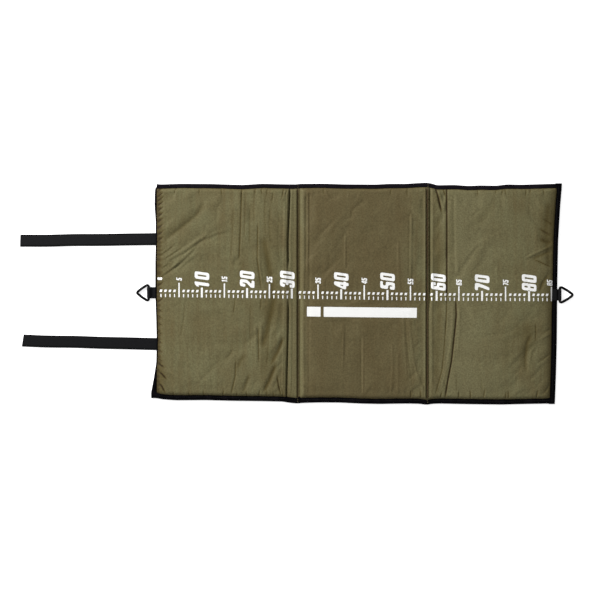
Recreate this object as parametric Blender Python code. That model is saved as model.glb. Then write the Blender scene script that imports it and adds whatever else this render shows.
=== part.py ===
"""Tri-fold unhooking mat: three padded panels on sewn folds, with two tie straps and two end rings.

The mat lies flat with its face up. The origin is on the ground under the middle of the middle panel,
+X runs along the printed ruler towards its high numbers, +Y runs across the mat and +Z is up. Every
length is in metres. Each fold is two hinges with a strip between them, so that a panel comes to lie
flat over its neighbour.
"""

import math

import bmesh
import bpy
from mathutils import Vector

# Plan of the mat
FOLD_PITCH = 0.280  # from one fold seam to the other, which is the folded mat's width
MAT_WIDTH = 0.475  # across the mat, over the binding
RIGHT_SPARE = 0.001  # how far the right panel is wider than the fold pitch
LEFT_SPARE = 0.0055  # the same for the left panel, which closes over the right one
SPINE = 0.0216  # from the left fold seam to the crease beside it
LEFT_CHANNEL = 0.0082  # sewn flat along the left fold seam
RIGHT_CHANNEL = 0.0108  # sewn flat along the right fold seam
CREASE = 0.0026  # sewn flat along the crease
STITCH_MARGIN = 0.0011  # of a panel's covers, beside the right channel

# Cloth, padding and the clearances between them
CLOTH = 0.0012  # top cover
BASE_CLOTH = 0.0018  # heavier coated cloth of the underside
BINDING_CLOTH = 0.0010
GAP = 0.0003  # between pieces that touch
JOINT_GAP = 0.0006  # between the two sides of a fold
PANEL_THICK = 0.015
SPINE_THICK = 0.0105
ROLL = 0.035  # over which a panel's padding falls away to its seams
CROWN_SHARE = 0.07  # of a panel's height, lost from its middle to its corners
HINGE_LIFT = 0.0005  # of a fold's axis over the padding, so that faces fold together without touching

# Binding
BINDING = 0.0095  # its width on each face of the mat
LEFT_BINDING = 0.0040  # narrower on the left end, where the cover bulges over it

# Straps: hook tape with a bare selvedge along each side
STRAP_WIDTH = 0.0235
STRAP_LENGTH = 0.289
STRAP_TAPE = 0.0014
STRAP_PILE = 0.0008
SELVEDGE = 0.0030
STRAP_CLEAR = 0.0005  # between a wrapped strap and the underside of the mat
UPPER_STRAP_Y = 0.1175  # centre of the strap where it leaves the mat
LOWER_STRAP_Y = -0.1090
UPPER_STRAP_LEAN = -0.0035  # sideways drift from there to the strap's end
LOWER_STRAP_LEAN = 0.0070
PATCH_LENGTH = 0.070
PATCH_THICK = 0.0008

# Rings and their webbing tabs
WIRE = 0.0036
RING_HALF = 0.0172  # from the ring's middle to the corner that its bar and leg would meet at
RING_REACH = 0.0287  # from the bar to the corner that its two legs would meet at
RING_CORNER = 0.0030
WEBBING = 0.0012
TAB_WIDTH = 0.0235
LEFT_TAB = 0.0155  # from the mat's edge to the ring's bar
RIGHT_TAB = 0.0053
TAB_TAIL = 0.0060  # the end of the right tab, sewn on over the binding

# Facets
ROLL_STEPS = 6
DOME_STEPS = 5
SPINE_STEPS = 3
BEND_STEPS = 8
CORNER_STEPS = 4
WIRE_RESOLUTION = 3

# Places along X
LEFT_SEAM_X = -FOLD_PITCH / 2
RIGHT_SEAM_X = FOLD_PITCH / 2
CREASE_X = LEFT_SEAM_X - SPINE
LEFT_EDGE = CREASE_X - FOLD_PITCH - LEFT_SPARE
RIGHT_EDGE = RIGHT_SEAM_X + FOLD_PITCH + RIGHT_SPARE
CHANNEL_START = RIGHT_SEAM_X - RIGHT_CHANNEL / 2
CHANNEL_END = RIGHT_SEAM_X + RIGHT_CHANNEL / 2
HALF_JOINT = JOINT_GAP / 2

# Places along Y
HALF_WIDTH = MAT_WIDTH / 2

# Heights, from the ground up through the layers of a bound edge
BASE_LOW = BINDING_CLOTH + GAP
BASE_HIGH = BASE_LOW + BASE_CLOTH
COVER_LOW = BASE_HIGH + GAP
COVER_HIGH = COVER_LOW + CLOTH
EDGE_THICK = COVER_HIGH + GAP + BINDING_CLOTH
EDGE_ROUND = EDGE_THICK / 2
HINGE_Z = PANEL_THICK + HINGE_LIFT
CHANNEL_HINGE_Z = HINGE_Z - RIGHT_CHANNEL / 2
FOLDED_HEIGHT = 2 * HINGE_Z + SPINE

# Finishes: colour, roughness, metallic
FACE_CLOTH = ((0.165, 0.140, 0.075), 0.55, 0.0)
UNDER_CLOTH = ((0.020, 0.020, 0.022), 0.65, 0.0)
FOAM = ((0.55, 0.55, 0.52), 0.90, 0.0)
TRIM = ((0.008, 0.008, 0.010), 0.60, 0.0)
HOOK_TAPE = ((0.018, 0.018, 0.020), 0.80, 0.0)
RING_METAL = ((0.006, 0.006, 0.007), 0.35, 0.6)


def clear_scene():
    for obj in list(bpy.data.objects):
        bpy.data.objects.remove(obj, do_unlink=True)


def new_collection(name):
    collection = bpy.data.collections.new(name)
    bpy.context.scene.collection.children.link(collection)
    return collection


def material(name, colour, roughness, metallic):
    made = bpy.data.materials.new(name)
    made.use_nodes = True
    shader = made.node_tree.nodes["Principled BSDF"]
    shader.inputs["Base Color"].default_value = (*colour, 1)
    shader.inputs["Roughness"].default_value = roughness
    shader.inputs["Metallic"].default_value = metallic
    return made


def pivot(name, place, carrier=None):
    """An empty on a hinge axis. The pieces that turn about the axis are its children."""
    empty = bpy.data.objects.new(name, None)
    parts.objects.link(empty)
    empty.location = place
    if carrier:
        empty.parent = carrier
        empty.matrix_parent_inverse = carrier.matrix_world.inverted()
    bpy.context.view_layer.update()
    return empty


def piece(name, data, finish, carrier, place=(0, 0, 0), turn=(0, 0, 0)):
    """One named piece of the mat, carried by the empty of its hinge."""
    obj = bpy.data.objects.new(name, data)
    parts.objects.link(obj)
    obj.location = place
    obj.rotation_euler = turn
    if carrier:
        obj.parent = carrier
        obj.matrix_parent_inverse = carrier.matrix_world.inverted()
    data.materials.append(material(name, *finish))
    return obj


# Sheets and padding


def sheet(name, xs, ys, top, bottom):
    """A closed layer between two height functions, on a grid with lines at xs and ys."""
    form = bmesh.new()
    columns, rows = len(xs) - 1, len(ys) - 1
    bmesh.ops.create_grid(form, x_segments=columns, y_segments=rows, size=1)
    made = bmesh.ops.extrude_face_region(form, geom=form.faces[:])
    lower = {vertex for vertex in made["geom"] if isinstance(vertex, bmesh.types.BMVert)}
    for vertex in form.verts:
        x = xs[round((vertex.co.x + 1) / 2 * columns)]
        y = ys[round((vertex.co.y + 1) / 2 * rows)]
        height = bottom if vertex in lower else top
        vertex.co = (x, y, height(x, y))
    bmesh.ops.recalc_face_normals(form, faces=form.faces[:])
    mesh = bpy.data.meshes.new(name)
    form.to_mesh(mesh)
    form.free()
    mesh.shade_smooth()
    mesh.set_sharp_from_angle(angle=math.radians(50))
    return mesh


class Span:
    """One axis of a padded panel: where its cloth ends, where its padding starts, and how it rolls off."""

    def __init__(self, start, pad_start, pad_end, end, roll, steps, dome_steps):
        self.start = start
        self.pad_start = pad_start
        self.pad_end = pad_end
        self.end = end
        self.roll = roll
        self.steps = steps
        self.dome_steps = dome_steps

    def rise(self, at):
        """0 at the edge of the padding, 1 where the roll-off is over, an ellipse between."""
        inside = min(at - self.pad_start, self.pad_end - at, self.roll)
        if inside <= 0:
            return 0
        return math.sqrt(1 - (1 - inside / self.roll) ** 2)

    def off_centre(self, at):
        half = (self.pad_end - self.pad_start) / 2
        return (at - self.pad_start - half) / half

    def roll_lines(self):
        """Distances in from the padding's edge, at even steps round the ellipse."""
        quarter = math.pi / 2
        return [self.roll * (1 - math.cos(quarter * n / self.steps)) for n in range(self.steps + 1)]

    def pad_lines(self, drop=0):
        """Grid lines over the padding. The first drop lines in from each edge are left out."""
        near = self.roll_lines()[drop:]
        first, last = self.pad_start + near[-1], self.pad_end - near[-1]
        flat = [first + (last - first) * n / self.dome_steps for n in range(1, self.dome_steps)]
        low = [self.pad_start + step for step in near]
        high = [self.pad_end - step for step in reversed(near)]
        if last - first < GAP:
            high = high[1:]
        return low + flat + high

    def cloth_lines(self):
        return [self.start] + self.pad_lines() + [self.end]

    def foam_lines(self):
        """As the padding's lines, with the outermost ones a gap clear of the dipping base cloth."""
        lines = self.pad_lines(drop=1)
        return [lines[0] + GAP] + lines[1:-1] + [lines[-1] - GAP]


def padded(name, across, along, thick, carrier):
    """Top cover, foam and base cover of one padded body: the cloths meet at its edges, a gap apart."""

    def face(x, y):
        dome = 1 - CROWN_SHARE * (across.off_centre(x) ** 2 + along.off_centre(y) ** 2) / 2
        return COVER_HIGH + (thick - COVER_HIGH) * across.rise(x) * along.rise(y) * dome

    def cloth_underside(x, y):
        return face(x, y) - CLOTH

    def foam_top(x, y):
        return face(x, y) - CLOTH - GAP

    def foam_bottom(x, y):
        return BASE_CLOTH + GAP

    def base_bottom(x, y):
        """On the ground under the padding, and up over the binding's lower leg outside it."""
        return 0 if across.rise(x) > 0 and along.rise(y) > 0 else BASE_LOW

    def base_top(x, y):
        return base_bottom(x, y) + BASE_CLOTH

    xs, ys = across.cloth_lines(), along.cloth_lines()
    cover = sheet(f"{name}_top_cover", xs, ys, face, cloth_underside)
    piece(f"{name}_top_cover", cover, FACE_CLOTH, carrier)
    foam = sheet(f"{name}_foam", across.foam_lines(), along.foam_lines(), foam_top, foam_bottom)
    piece(f"{name}_foam", foam, FOAM, carrier)
    base = sheet(f"{name}_base_cover", xs, ys, base_top, base_bottom)
    return piece(f"{name}_base_cover", base, UNDER_CLOTH, carrier)


def mat_span():
    """Across the mat, the same for each padded body: bound on both sides."""
    cloth = HALF_WIDTH - EDGE_ROUND
    pad = HALF_WIDTH - BINDING - GAP
    return Span(-cloth, -pad, pad, cloth, ROLL, ROLL_STEPS, DOME_STEPS)


# Outlines, extruded


def arc(centre, radius, start, end, steps):
    """Points along an arc, from angle start to angle end in degrees."""
    turns = [math.radians(start + (end - start) * n / steps) for n in range(steps + 1)]
    return [(centre[0] + radius * math.cos(t), centre[1] + radius * math.sin(t)) for t in turns]


def extruded(name, outlines, depth):
    """A flat outline, with any holes after it, extruded to the given depth."""
    curve = bpy.data.curves.new(name, "CURVE")
    curve.dimensions = "2D"
    curve.fill_mode = "BOTH"
    curve.extrude = depth / 2
    for outline in outlines:
        spline = curve.splines.new("POLY")
        spline.points.add(len(outline) - 1)
        for point, (u, v) in zip(spline.points, outline):
            point.co = (u, v, 0, 1)
        spline.use_cyclic_u = True
    return curve


def binding_outline(leg):
    """The folded tape in section: inward from the mat's edge, and up."""
    inner = EDGE_ROUND - BINDING_CLOTH
    centre = (EDGE_ROUND, EDGE_ROUND)
    outside = [(leg, EDGE_THICK)] + arc(centre, EDGE_ROUND, 90, 270, BEND_STEPS) + [(leg, 0)]
    inside = arc(centre, inner, 270, 90, BEND_STEPS)
    return outside + [(leg, BINDING_CLOTH)] + inside + [(leg, EDGE_THICK - BINDING_CLOTH)]


def side_binding(name, start, end, side, carrier):
    """Binding along a stretch of a long side, which is at +Y or -Y."""
    tape = extruded(name, [binding_outline(BINDING)], end - start)
    place = ((start + end) / 2, side * HALF_WIDTH, 0)
    turn = (math.pi / 2, 0, -side * math.pi / 2)
    piece(name, tape, TRIM, carrier, place, turn)


def side_bindings(name, start, end, carrier):
    for word, side in (("upper", 1), ("lower", -1)):
        side_binding(f"{name}_{word}_binding", start, end, side, carrier)


def end_binding(name, edge, inward, leg, length, carrier):
    """Binding along a short end, which faces away from inward, +1 or -1 along X."""
    tape = extruded(name, [binding_outline(leg)], length)
    turn = (math.pi / 2, 0, 0 if inward > 0 else math.pi)
    piece(name, tape, TRIM, carrier, (edge, 0, 0), turn)


# Bodies of the mat


def middle_panel():
    start, end = LEFT_SEAM_X + HALF_JOINT, CHANNEL_START - HALF_JOINT
    pad_start, pad_end = LEFT_SEAM_X + LEFT_CHANNEL / 2, CHANNEL_START - STITCH_MARGIN
    across = Span(start, pad_start, pad_end, end, ROLL, ROLL_STEPS, DOME_STEPS)
    base = padded("middle", across, mat_span(), PANEL_THICK, None)
    side_bindings("middle", start, end, None)
    for word, y, lean in (
        ("upper", UPPER_STRAP_Y, UPPER_STRAP_LEAN),
        ("lower", LOWER_STRAP_Y, LOWER_STRAP_LEAN),
    ):
        loop_patch(word, y + lean, base)


def right_channel(carrier):
    """The two cloths of the right fold seam, sewn flat, with their stretches of binding."""
    start, end = CHANNEL_START + HALF_JOINT, CHANNEL_END - HALF_JOINT
    cloth = HALF_WIDTH - EDGE_ROUND
    for name, low, high, finish in (
        ("right_fold_top_cover", COVER_LOW, COVER_HIGH, FACE_CLOTH),
        ("right_fold_base_cover", BASE_LOW, BASE_HIGH, UNDER_CLOTH),
    ):
        strip = sheet(name, [start, end], [-cloth, cloth], lambda x, y: high, lambda x, y: low)
        piece(name, strip, finish, carrier)
    side_bindings("right_fold", start, end, carrier)


def right_panel(carrier):
    start, end = CHANNEL_END + HALF_JOINT, RIGHT_EDGE - EDGE_ROUND
    pad_start, pad_end = CHANNEL_END + STITCH_MARGIN, RIGHT_EDGE - BINDING - GAP
    across = Span(start, pad_start, pad_end, end, ROLL, ROLL_STEPS, DOME_STEPS)
    padded("right", across, mat_span(), PANEL_THICK, carrier)
    side_bindings("right", start, RIGHT_EDGE - BINDING - GAP, carrier)
    end_binding("right_end_binding", RIGHT_EDGE, -1, BINDING, MAT_WIDTH, carrier)
    tail = box("right_tab_tail", (TAB_TAIL, TAB_WIDTH, WEBBING))
    place = (RIGHT_EDGE - EDGE_ROUND - TAB_TAIL / 2, 0, EDGE_THICK + GAP + WEBBING / 2)
    piece("right_tab_tail", tail, TRIM, carrier, place)


def spine_strip(carrier):
    start, end = CREASE_X + HALF_JOINT, LEFT_SEAM_X - HALF_JOINT
    pad_start, pad_end = CREASE_X + CREASE / 2, LEFT_SEAM_X - LEFT_CHANNEL / 2
    roll = (pad_end - pad_start) / 2
    across = Span(start, pad_start, pad_end, end, roll, SPINE_STEPS, 1)
    padded("spine", across, mat_span(), SPINE_THICK, carrier)
    side_bindings("spine", start, end, carrier)


def left_panel(carrier):
    start, end = LEFT_EDGE + EDGE_ROUND, CREASE_X - HALF_JOINT
    pad_start, pad_end = LEFT_EDGE + LEFT_BINDING + GAP, CREASE_X - CREASE / 2
    across = Span(start, pad_start, pad_end, end, ROLL, ROLL_STEPS, DOME_STEPS)
    padded("left", across, mat_span(), PANEL_THICK, carrier)
    side_bindings("left", LEFT_EDGE, end, carrier)
    length = MAT_WIDTH - 2 * (BINDING + GAP)
    end_binding("left_end_binding", LEFT_EDGE, 1, LEFT_BINDING, length, carrier)


# Straps and the patches that they hold to

STRAP_THICK = STRAP_TAPE + STRAP_PILE
STRAP_ROOT_X = LEFT_EDGE - GAP
STRAP_HINGE_Z = STRAP_THICK + GAP
# The first length of a strap reaches from the top of the folded mat to just under it.
STRAP_DROP = FOLDED_HEIGHT - STRAP_HINGE_Z - GAP + STRAP_CLEAR
STRAP_BEND_X = STRAP_ROOT_X - STRAP_DROP
# Where the wrapped strap's end comes to lie under the middle panel.
WRAP_X = LEFT_SEAM_X + (CREASE_X - STRAP_ROOT_X)
WRAP_END_X = WRAP_X - (STRAP_LENGTH - STRAP_DROP)


def box(name, size):
    form = bmesh.new()
    bmesh.ops.create_cube(form, size=1)
    bmesh.ops.scale(form, vec=Vector(size), verts=form.verts[:])
    mesh = bpy.data.meshes.new(name)
    form.to_mesh(mesh)
    form.free()
    return mesh


def loop_patch(word, y, base):
    """A patch let into the underside, flush with it, where the strap's end lands."""
    name = f"{word}_loop_patch"
    centre = WRAP_END_X + PATCH_LENGTH / 2
    size = (PATCH_LENGTH, STRAP_WIDTH, PATCH_THICK)
    patch = piece(name, box(name, size), HOOK_TAPE, None, (centre, y, PATCH_THICK / 2))
    pocket_high = PATCH_THICK + GAP
    pocket_size = (PATCH_LENGTH + 2 * GAP, STRAP_WIDTH + 2 * GAP, 2 * pocket_high)
    cutter = bpy.data.objects.new(f"{word}_pocket", box(f"{word}_pocket", pocket_size))
    cutters.objects.link(cutter)
    cutter.location = (centre, y, 0)
    cutter.hide_render = True
    cutter.display_type = "WIRE"
    cut = base.modifiers.new(f"{word}_pocket", "BOOLEAN")
    cut.operation = "DIFFERENCE"
    cut.solver = "EXACT"
    cut.object = cutter
    return patch


def strap_length(name, near, far, y, lean, carrier):
    """A stretch of strap between two places along X: tape with a raised pile between its selvedges."""
    near_y = y + lean * (STRAP_ROOT_X - near) / STRAP_LENGTH
    far_y = y + lean * (STRAP_ROOT_X - far) / STRAP_LENGTH
    half, pile = STRAP_WIDTH / 2, STRAP_WIDTH / 2 - SELVEDGE
    section = [
        (-half, 0),
        (half, 0),
        (half, STRAP_TAPE),
        (pile, STRAP_TAPE),
        (pile, STRAP_THICK),
        (-pile, STRAP_THICK),
        (-pile, STRAP_TAPE),
        (-half, STRAP_TAPE),
    ]
    form = bmesh.new()
    face = form.faces.new([form.verts.new((near, near_y + u, v)) for u, v in section])
    made = bmesh.ops.extrude_face_region(form, geom=[face])
    moved = [v for v in made["geom"] if isinstance(v, bmesh.types.BMVert)]
    bmesh.ops.translate(form, vec=Vector((far - near, far_y - near_y, 0)), verts=moved)
    bmesh.ops.recalc_face_normals(form, faces=form.faces[:])
    mesh = bpy.data.meshes.new(name)
    form.to_mesh(mesh)
    form.free()
    piece(name, mesh, HOOK_TAPE, carrier)


def strap(word, y, lean, panel):
    """Two lengths on two hinges: down the side of the folded mat, then under it."""
    root = pivot(f"{word}_strap_root_hinge", (STRAP_ROOT_X, y, STRAP_HINGE_Z), panel)
    strap_length(f"{word}_strap_side", STRAP_ROOT_X, STRAP_BEND_X + HALF_JOINT, y, lean, root)
    bend = pivot(f"{word}_strap_bend_hinge", (STRAP_BEND_X, y, STRAP_HINGE_Z), root)
    end = STRAP_ROOT_X - STRAP_LENGTH
    strap_length(f"{word}_strap_end", STRAP_BEND_X - HALF_JOINT, end, y, lean, bend)


# Rings and tabs

BORE = WIRE / 2 + GAP
TAB_ROUND = BORE + WEBBING
PLIES_PART_SHARE = 1.3  # of the loop's radius, from the bar to where the two plies part


def tab_outline(reach):
    """The doubled webbing from the side, with its bore round the ring's bar: outward, and up."""
    bar = (reach - GAP, TAB_ROUND)
    seam = bar[0] - PLIES_PART_SHARE * TAB_ROUND
    two_plies = 2 * WEBBING
    away = math.hypot(bar[0] - seam, bar[1] - two_plies)
    facing = math.degrees(math.atan2(two_plies - bar[1], seam - bar[0])) % 360
    tangent = facing - math.degrees(math.acos(TAB_ROUND / away))
    outside = [(0, two_plies), (0, 0)] + arc(bar, TAB_ROUND, -90, tangent, 2 * BEND_STEPS)
    bore = arc(bar, BORE, 0, 360, 2 * BEND_STEPS)[:-1]
    return [outside + [(seam, two_plies)], bore]


def rounded(corners, radius, steps):
    """The corners' outline with each corner rounded off by an arc of the given radius."""
    points = []
    for n, corner in enumerate(corners):
        here = Vector(corner)
        back = (Vector(corners[n - 1]) - here).normalized()
        ahead = (Vector(corners[(n + 1) % len(corners)]) - here).normalized()
        half = back.angle(ahead) / 2
        centre = here + (back + ahead).normalized() * radius / math.sin(half)
        first = here + back * radius / math.tan(half) - centre
        last = here + ahead * radius / math.tan(half) - centre
        for step in range(steps + 1):
            points.append(centre + first.lerp(last, step / steps).normalized() * radius)
    return points


def ring_and_tab(word, edge, outward, reach, panel):
    """A webbing tab hinged at the mat's end, and the wire ring hinged in its loop."""
    tab_x, ring_x = edge + outward * GAP, edge + outward * reach
    tab_pivot = pivot(f"{word}_tab_hinge", (tab_x, 0, -GAP), panel)
    tab = extruded(f"{word}_ring_tab", tab_outline(reach), TAB_WIDTH)
    turn = (math.pi / 2, 0, 0 if outward > 0 else math.pi)
    piece(f"{word}_ring_tab", tab, TRIM, tab_pivot, (tab_x, 0, 0), turn)
    ring_pivot = pivot(f"{word}_ring_hinge", (ring_x, 0, TAB_ROUND), tab_pivot)
    ring = bpy.data.curves.new(f"{word}_ring", "CURVE")
    ring.dimensions = "3D"
    ring.bevel_depth = WIRE / 2
    ring.bevel_resolution = WIRE_RESOLUTION
    corners = [(0, -RING_HALF), (RING_REACH, 0), (0, RING_HALF)]
    path = rounded(corners, RING_CORNER, CORNER_STEPS)
    spline = ring.splines.new("POLY")
    spline.points.add(len(path) - 1)
    for point, (x, y) in zip(spline.points, path):
        point.co = (outward * x, y, 0, 1)
    spline.use_cyclic_u = True
    piece(f"{word}_ring", ring, RING_METAL, ring_pivot, (ring_x, 0, TAB_ROUND))


clear_scene()
parts = new_collection("unhooking_mat")
cutters = new_collection("cutters")

middle_panel()
channel_pivot = pivot("right_fold_inner_hinge", (CHANNEL_START, 0, CHANNEL_HINGE_Z))
right_channel(channel_pivot)
right_pivot = pivot("right_fold_outer_hinge", (CHANNEL_END, 0, CHANNEL_HINGE_Z), channel_pivot)
right_panel(right_pivot)
spine_pivot = pivot("left_fold_inner_hinge", (LEFT_SEAM_X, 0, HINGE_Z))
spine_strip(spine_pivot)
left_pivot = pivot("left_fold_outer_hinge", (CREASE_X, 0, HINGE_Z), spine_pivot)
left_panel(left_pivot)
strap("upper", UPPER_STRAP_Y, UPPER_STRAP_LEAN, left_pivot)
strap("lower", LOWER_STRAP_Y, LOWER_STRAP_LEAN, left_pivot)
ring_and_tab("left", LEFT_EDGE, -1, LEFT_TAB, left_pivot)
ring_and_tab("right", RIGHT_EDGE, 1, RIGHT_TAB, right_pivot)
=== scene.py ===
# %% [markdown]
# The mat is a row of soft panels that fold up like a letter. It lies open on a white floor and the camera
# looks straight down on it. The imported model gives every place in this script: each piece is built over its
# own solid and rides on the same body.

# %% Open the frame
import math

import bmesh
import bpy
import numpy as np
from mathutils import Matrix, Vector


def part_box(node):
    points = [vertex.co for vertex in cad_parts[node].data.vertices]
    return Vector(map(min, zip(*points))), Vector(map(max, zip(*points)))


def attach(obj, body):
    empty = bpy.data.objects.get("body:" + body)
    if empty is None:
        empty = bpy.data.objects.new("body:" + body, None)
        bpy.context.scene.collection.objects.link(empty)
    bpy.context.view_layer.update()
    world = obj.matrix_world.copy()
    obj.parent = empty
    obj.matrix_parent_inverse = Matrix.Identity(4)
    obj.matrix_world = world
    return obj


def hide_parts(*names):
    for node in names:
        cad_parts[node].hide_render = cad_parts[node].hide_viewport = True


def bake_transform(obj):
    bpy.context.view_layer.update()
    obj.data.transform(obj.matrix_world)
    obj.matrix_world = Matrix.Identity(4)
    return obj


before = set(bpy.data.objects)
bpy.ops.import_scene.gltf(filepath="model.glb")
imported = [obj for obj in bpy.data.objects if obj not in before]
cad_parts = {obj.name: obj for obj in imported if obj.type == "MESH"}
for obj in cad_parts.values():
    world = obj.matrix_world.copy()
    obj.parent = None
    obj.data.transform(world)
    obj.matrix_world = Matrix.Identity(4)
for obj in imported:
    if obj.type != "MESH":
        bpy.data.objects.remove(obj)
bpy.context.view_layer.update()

# %% [markdown]
# Places on the mat were read off the photograph in pixels. The printed ruler gives the scale: its marks are
# ten millimetres apart, and the mat lies flat, so one scale and one offset turn a pixel into a place.

# %% Photo scale
MM = 0.001
PIXELS_PER_METRE = 463.0
ORIGIN_PIXEL = (362.7, 293.6)
VIEW_PIXELS = 600
VIEW_WIDTH = VIEW_PIXELS / PIXELS_PER_METRE
VIEW_CENTRE = tuple(
    sign * (VIEW_PIXELS / 2 - pixel) / PIXELS_PER_METRE for sign, pixel in zip((1, -1), ORIGIN_PIXEL)
)


def place_x(pixel):
    return (np.asarray(pixel, float) - ORIGIN_PIXEL[0]) / PIXELS_PER_METRE


def place_y(pixel):
    return (ORIGIN_PIXEL[1] - np.asarray(pixel, float)) / PIXELS_PER_METRE


def across_pixels(count):
    return count / PIXELS_PER_METRE


print(f"one pixel is {across_pixels(1) / MM:.2f} mm")

# %% [markdown]
# A camera far above the mat with a long lens sees it without parallax. The fill light comes from the whole
# white sky. One wide soft lamp stands beyond the upper left corner, because the folds in the photograph are
# bright on their upper left and dark on their lower right.

# %% Camera and light
LENS, SENSOR = 150.0, 36.0
FOCUS_HEIGHT = 0.012
FARTHEST_SEEN = 100


def placed(name, data):
    """A new object in the scene."""
    obj = bpy.data.objects.new(name, data)
    bpy.context.scene.collection.objects.link(obj)
    return obj


camera_data = bpy.data.cameras.new("camera")
camera_data.lens = LENS
camera_data.sensor_width = SENSOR
camera_data.clip_end = FARTHEST_SEEN
camera = placed("camera", camera_data)
camera.location = (*VIEW_CENTRE, FOCUS_HEIGHT + VIEW_WIDTH * LENS / SENSOR)
bpy.context.scene.camera = camera

SKY_STRENGTH = 0.36
KEY_PLACE = (-2.9, 1.9, 2.1)
KEY_SIZE = 1.3
KEY_POWER = 195.0


def soft_lamp(name, place, size, power):
    lamp = bpy.data.lights.new(name, "AREA")
    lamp.shape = "DISK"
    lamp.size = size
    lamp.energy = power
    obj = placed(name, lamp)
    obj.location = place
    obj.rotation_euler = obj.location.to_track_quat("Z", "Y").to_euler()


soft_lamp("key_lamp", KEY_PLACE, KEY_SIZE, KEY_POWER)
bpy.context.scene.view_settings.view_transform = "Standard"
print("camera stands", round(camera.location.z, 2), "m up")

# %% [markdown]
# Every finish below is written as sums on shader sockets. This class wraps one socket and gives it Python's
# operators, so that an expression adds its own Math nodes. The second class is one finish: a Principled
# shader, and a single method that adds any other kind of node.

# %% Shader sums


class Wire:
    """A shader value that takes part in Python expressions."""

    def __init__(self, finish, socket):
        self.finish = finish
        self.socket = socket

    def sum_of(self, operation, first, second=0.0):
        return self.finish.add("ShaderNodeMath", {"operation": operation}, {0: first, 1: second})

    def __add__(self, other):
        return self.sum_of("ADD", self, other)

    def __radd__(self, other):
        return self.sum_of("ADD", other, self)

    def __sub__(self, other):
        return self.sum_of("SUBTRACT", self, other)

    def __rsub__(self, other):
        return self.sum_of("SUBTRACT", other, self)

    def __mul__(self, other):
        return self.sum_of("MULTIPLY", self, other)

    def __rmul__(self, other):
        return self.sum_of("MULTIPLY", other, self)

    def sine(self):
        return self.sum_of("SINE", self)

    def at_least(self, other):
        return self.sum_of("MAXIMUM", self, other)

    def between(self, low, high):
        """0 below low, 1 above high, and a straight ramp between."""
        inputs = {"Value": self, "From Min": low, "From Max": high}
        return self.finish.add("ShaderNodeMapRange", {"clamp": True}, inputs)


class Finish:
    """One material: constants go straight to its shader, and what varies is wired to it."""

    def __init__(self, name, **constants):
        self.material = bpy.data.materials.new(name)
        self.material.use_nodes = True
        self.tree = self.material.node_tree
        self.shader = self.tree.nodes["Principled BSDF"]
        for socket, value in constants.items():
            self.shader.inputs[socket.replace("_", " ")].default_value = value

    def connect(self, value, socket):
        if isinstance(value, Wire):
            self.tree.links.new(value.socket, socket)
        elif socket.type == "RGBA" and len(value) == 3:
            socket.default_value = (*value, 1)
        else:
            socket.default_value = value

    def add(self, kind, settings=None, inputs=None, output=0):
        node = self.tree.nodes.new(kind)
        for name, value in (settings or {}).items():
            setattr(node, name, value)
        for socket, value in (inputs or {}).items():
            self.connect(value, node.inputs[socket])
        return Wire(self, node.outputs[output])

    def drive(self, socket, value):
        self.connect(value, self.shader.inputs[socket])

    def places(self):
        """The point's place on the mat at rest, in metres, as three wires."""
        here = self.add("ShaderNodeTexCoord", output="Object")
        return [self.add("ShaderNodeSeparateXYZ", None, {0: here}, axis) for axis in "XYZ"], here

    def noise(self, here, scale, detail=2.0, stretch=(1, 1, 1)):
        stretched = self.add("ShaderNodeVectorMath", {"operation": "MULTIPLY"}, {0: here, 1: stretch})
        inputs = {"Vector": stretched, "Scale": scale, "Detail": detail}
        return self.add("ShaderNodeTexNoise", None, inputs)

    def mix(self, share, first, second, blend="MIX"):
        settings = {"data_type": "RGBA", "blend_type": blend}
        return self.add("ShaderNodeMix", settings, {0: share, 6: first, 7: second}, output=2)

    def attribute(self, name):
        return self.add("ShaderNodeAttribute", {"attribute_name": name}, output="Fac")

    def bump(self, height, distance, strength=1.0):
        inputs = {"Height": height, "Distance": distance, "Strength": strength}
        self.drive("Normal", self.add("ShaderNodeBump", None, inputs))


def linear(red, green, blue):
    """A colour as read off a picture, 0 to 255, as the shader wants it."""
    shares = [level / 255 for level in (red, green, blue)]
    return tuple(s / 12.92 if s <= 0.04045 else ((s + 0.055) / 1.055) ** 2.4 for s in shares)


print("a mid olive is", [round(level, 3) for level in linear(108, 99, 70)])

# %% [markdown]
# The floor is plain white to the camera and to glossy reflections, and a middle grey to the light that
# bounces off it, so that it doesn't brighten the mat from below. It is still a lit surface, so the mat's own
# soft shadow stays on it. A faint glow that only the camera sees keeps its far side as white as its near
# side.

# %% Floor and sky
FLOOR_SIDE = 40.0
FLOOR_DROP = 0.0004
FLOOR_WHITE = (1.0, 1.0, 1.0)
FLOOR_BOUNCE = (0.45, 0.45, 0.45)
FLOOR_GLOW = (0.68, 0.68, 0.68)


def seen_directly(tree_owner):
    """1 for the rays that see the stage: the camera's, and those that mirror or pass through it."""
    kinds = ("Is Camera Ray", "Is Glossy Ray", "Is Transmission Ray")
    ray = "ShaderNodeLightPath"
    camera_ray, glossy_ray, through_ray = (tree_owner.add(ray, output=kind) for kind in kinds)
    return camera_ray.at_least(glossy_ray).at_least(through_ray)


floor_finish = Finish("floor_white", Roughness=1.0, Specular_IOR_Level=0.0, Emission_Strength=1.0)
seen = seen_directly(floor_finish)
floor_finish.drive("Base Color", floor_finish.mix(seen, FLOOR_BOUNCE, FLOOR_WHITE))
floor_finish.drive("Emission Color", floor_finish.mix(seen, (0.0, 0.0, 0.0), FLOOR_GLOW))
floor_form = bmesh.new()
bmesh.ops.create_grid(floor_form, x_segments=1, y_segments=1, size=FLOOR_SIDE / 2)
floor_mesh = bpy.data.meshes.new("floor")
floor_form.to_mesh(floor_mesh)
floor_form.free()
floor_mesh.materials.append(floor_finish.material)
floor = placed("floor", floor_mesh)
floor.location.z = -FLOOR_DROP


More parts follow.
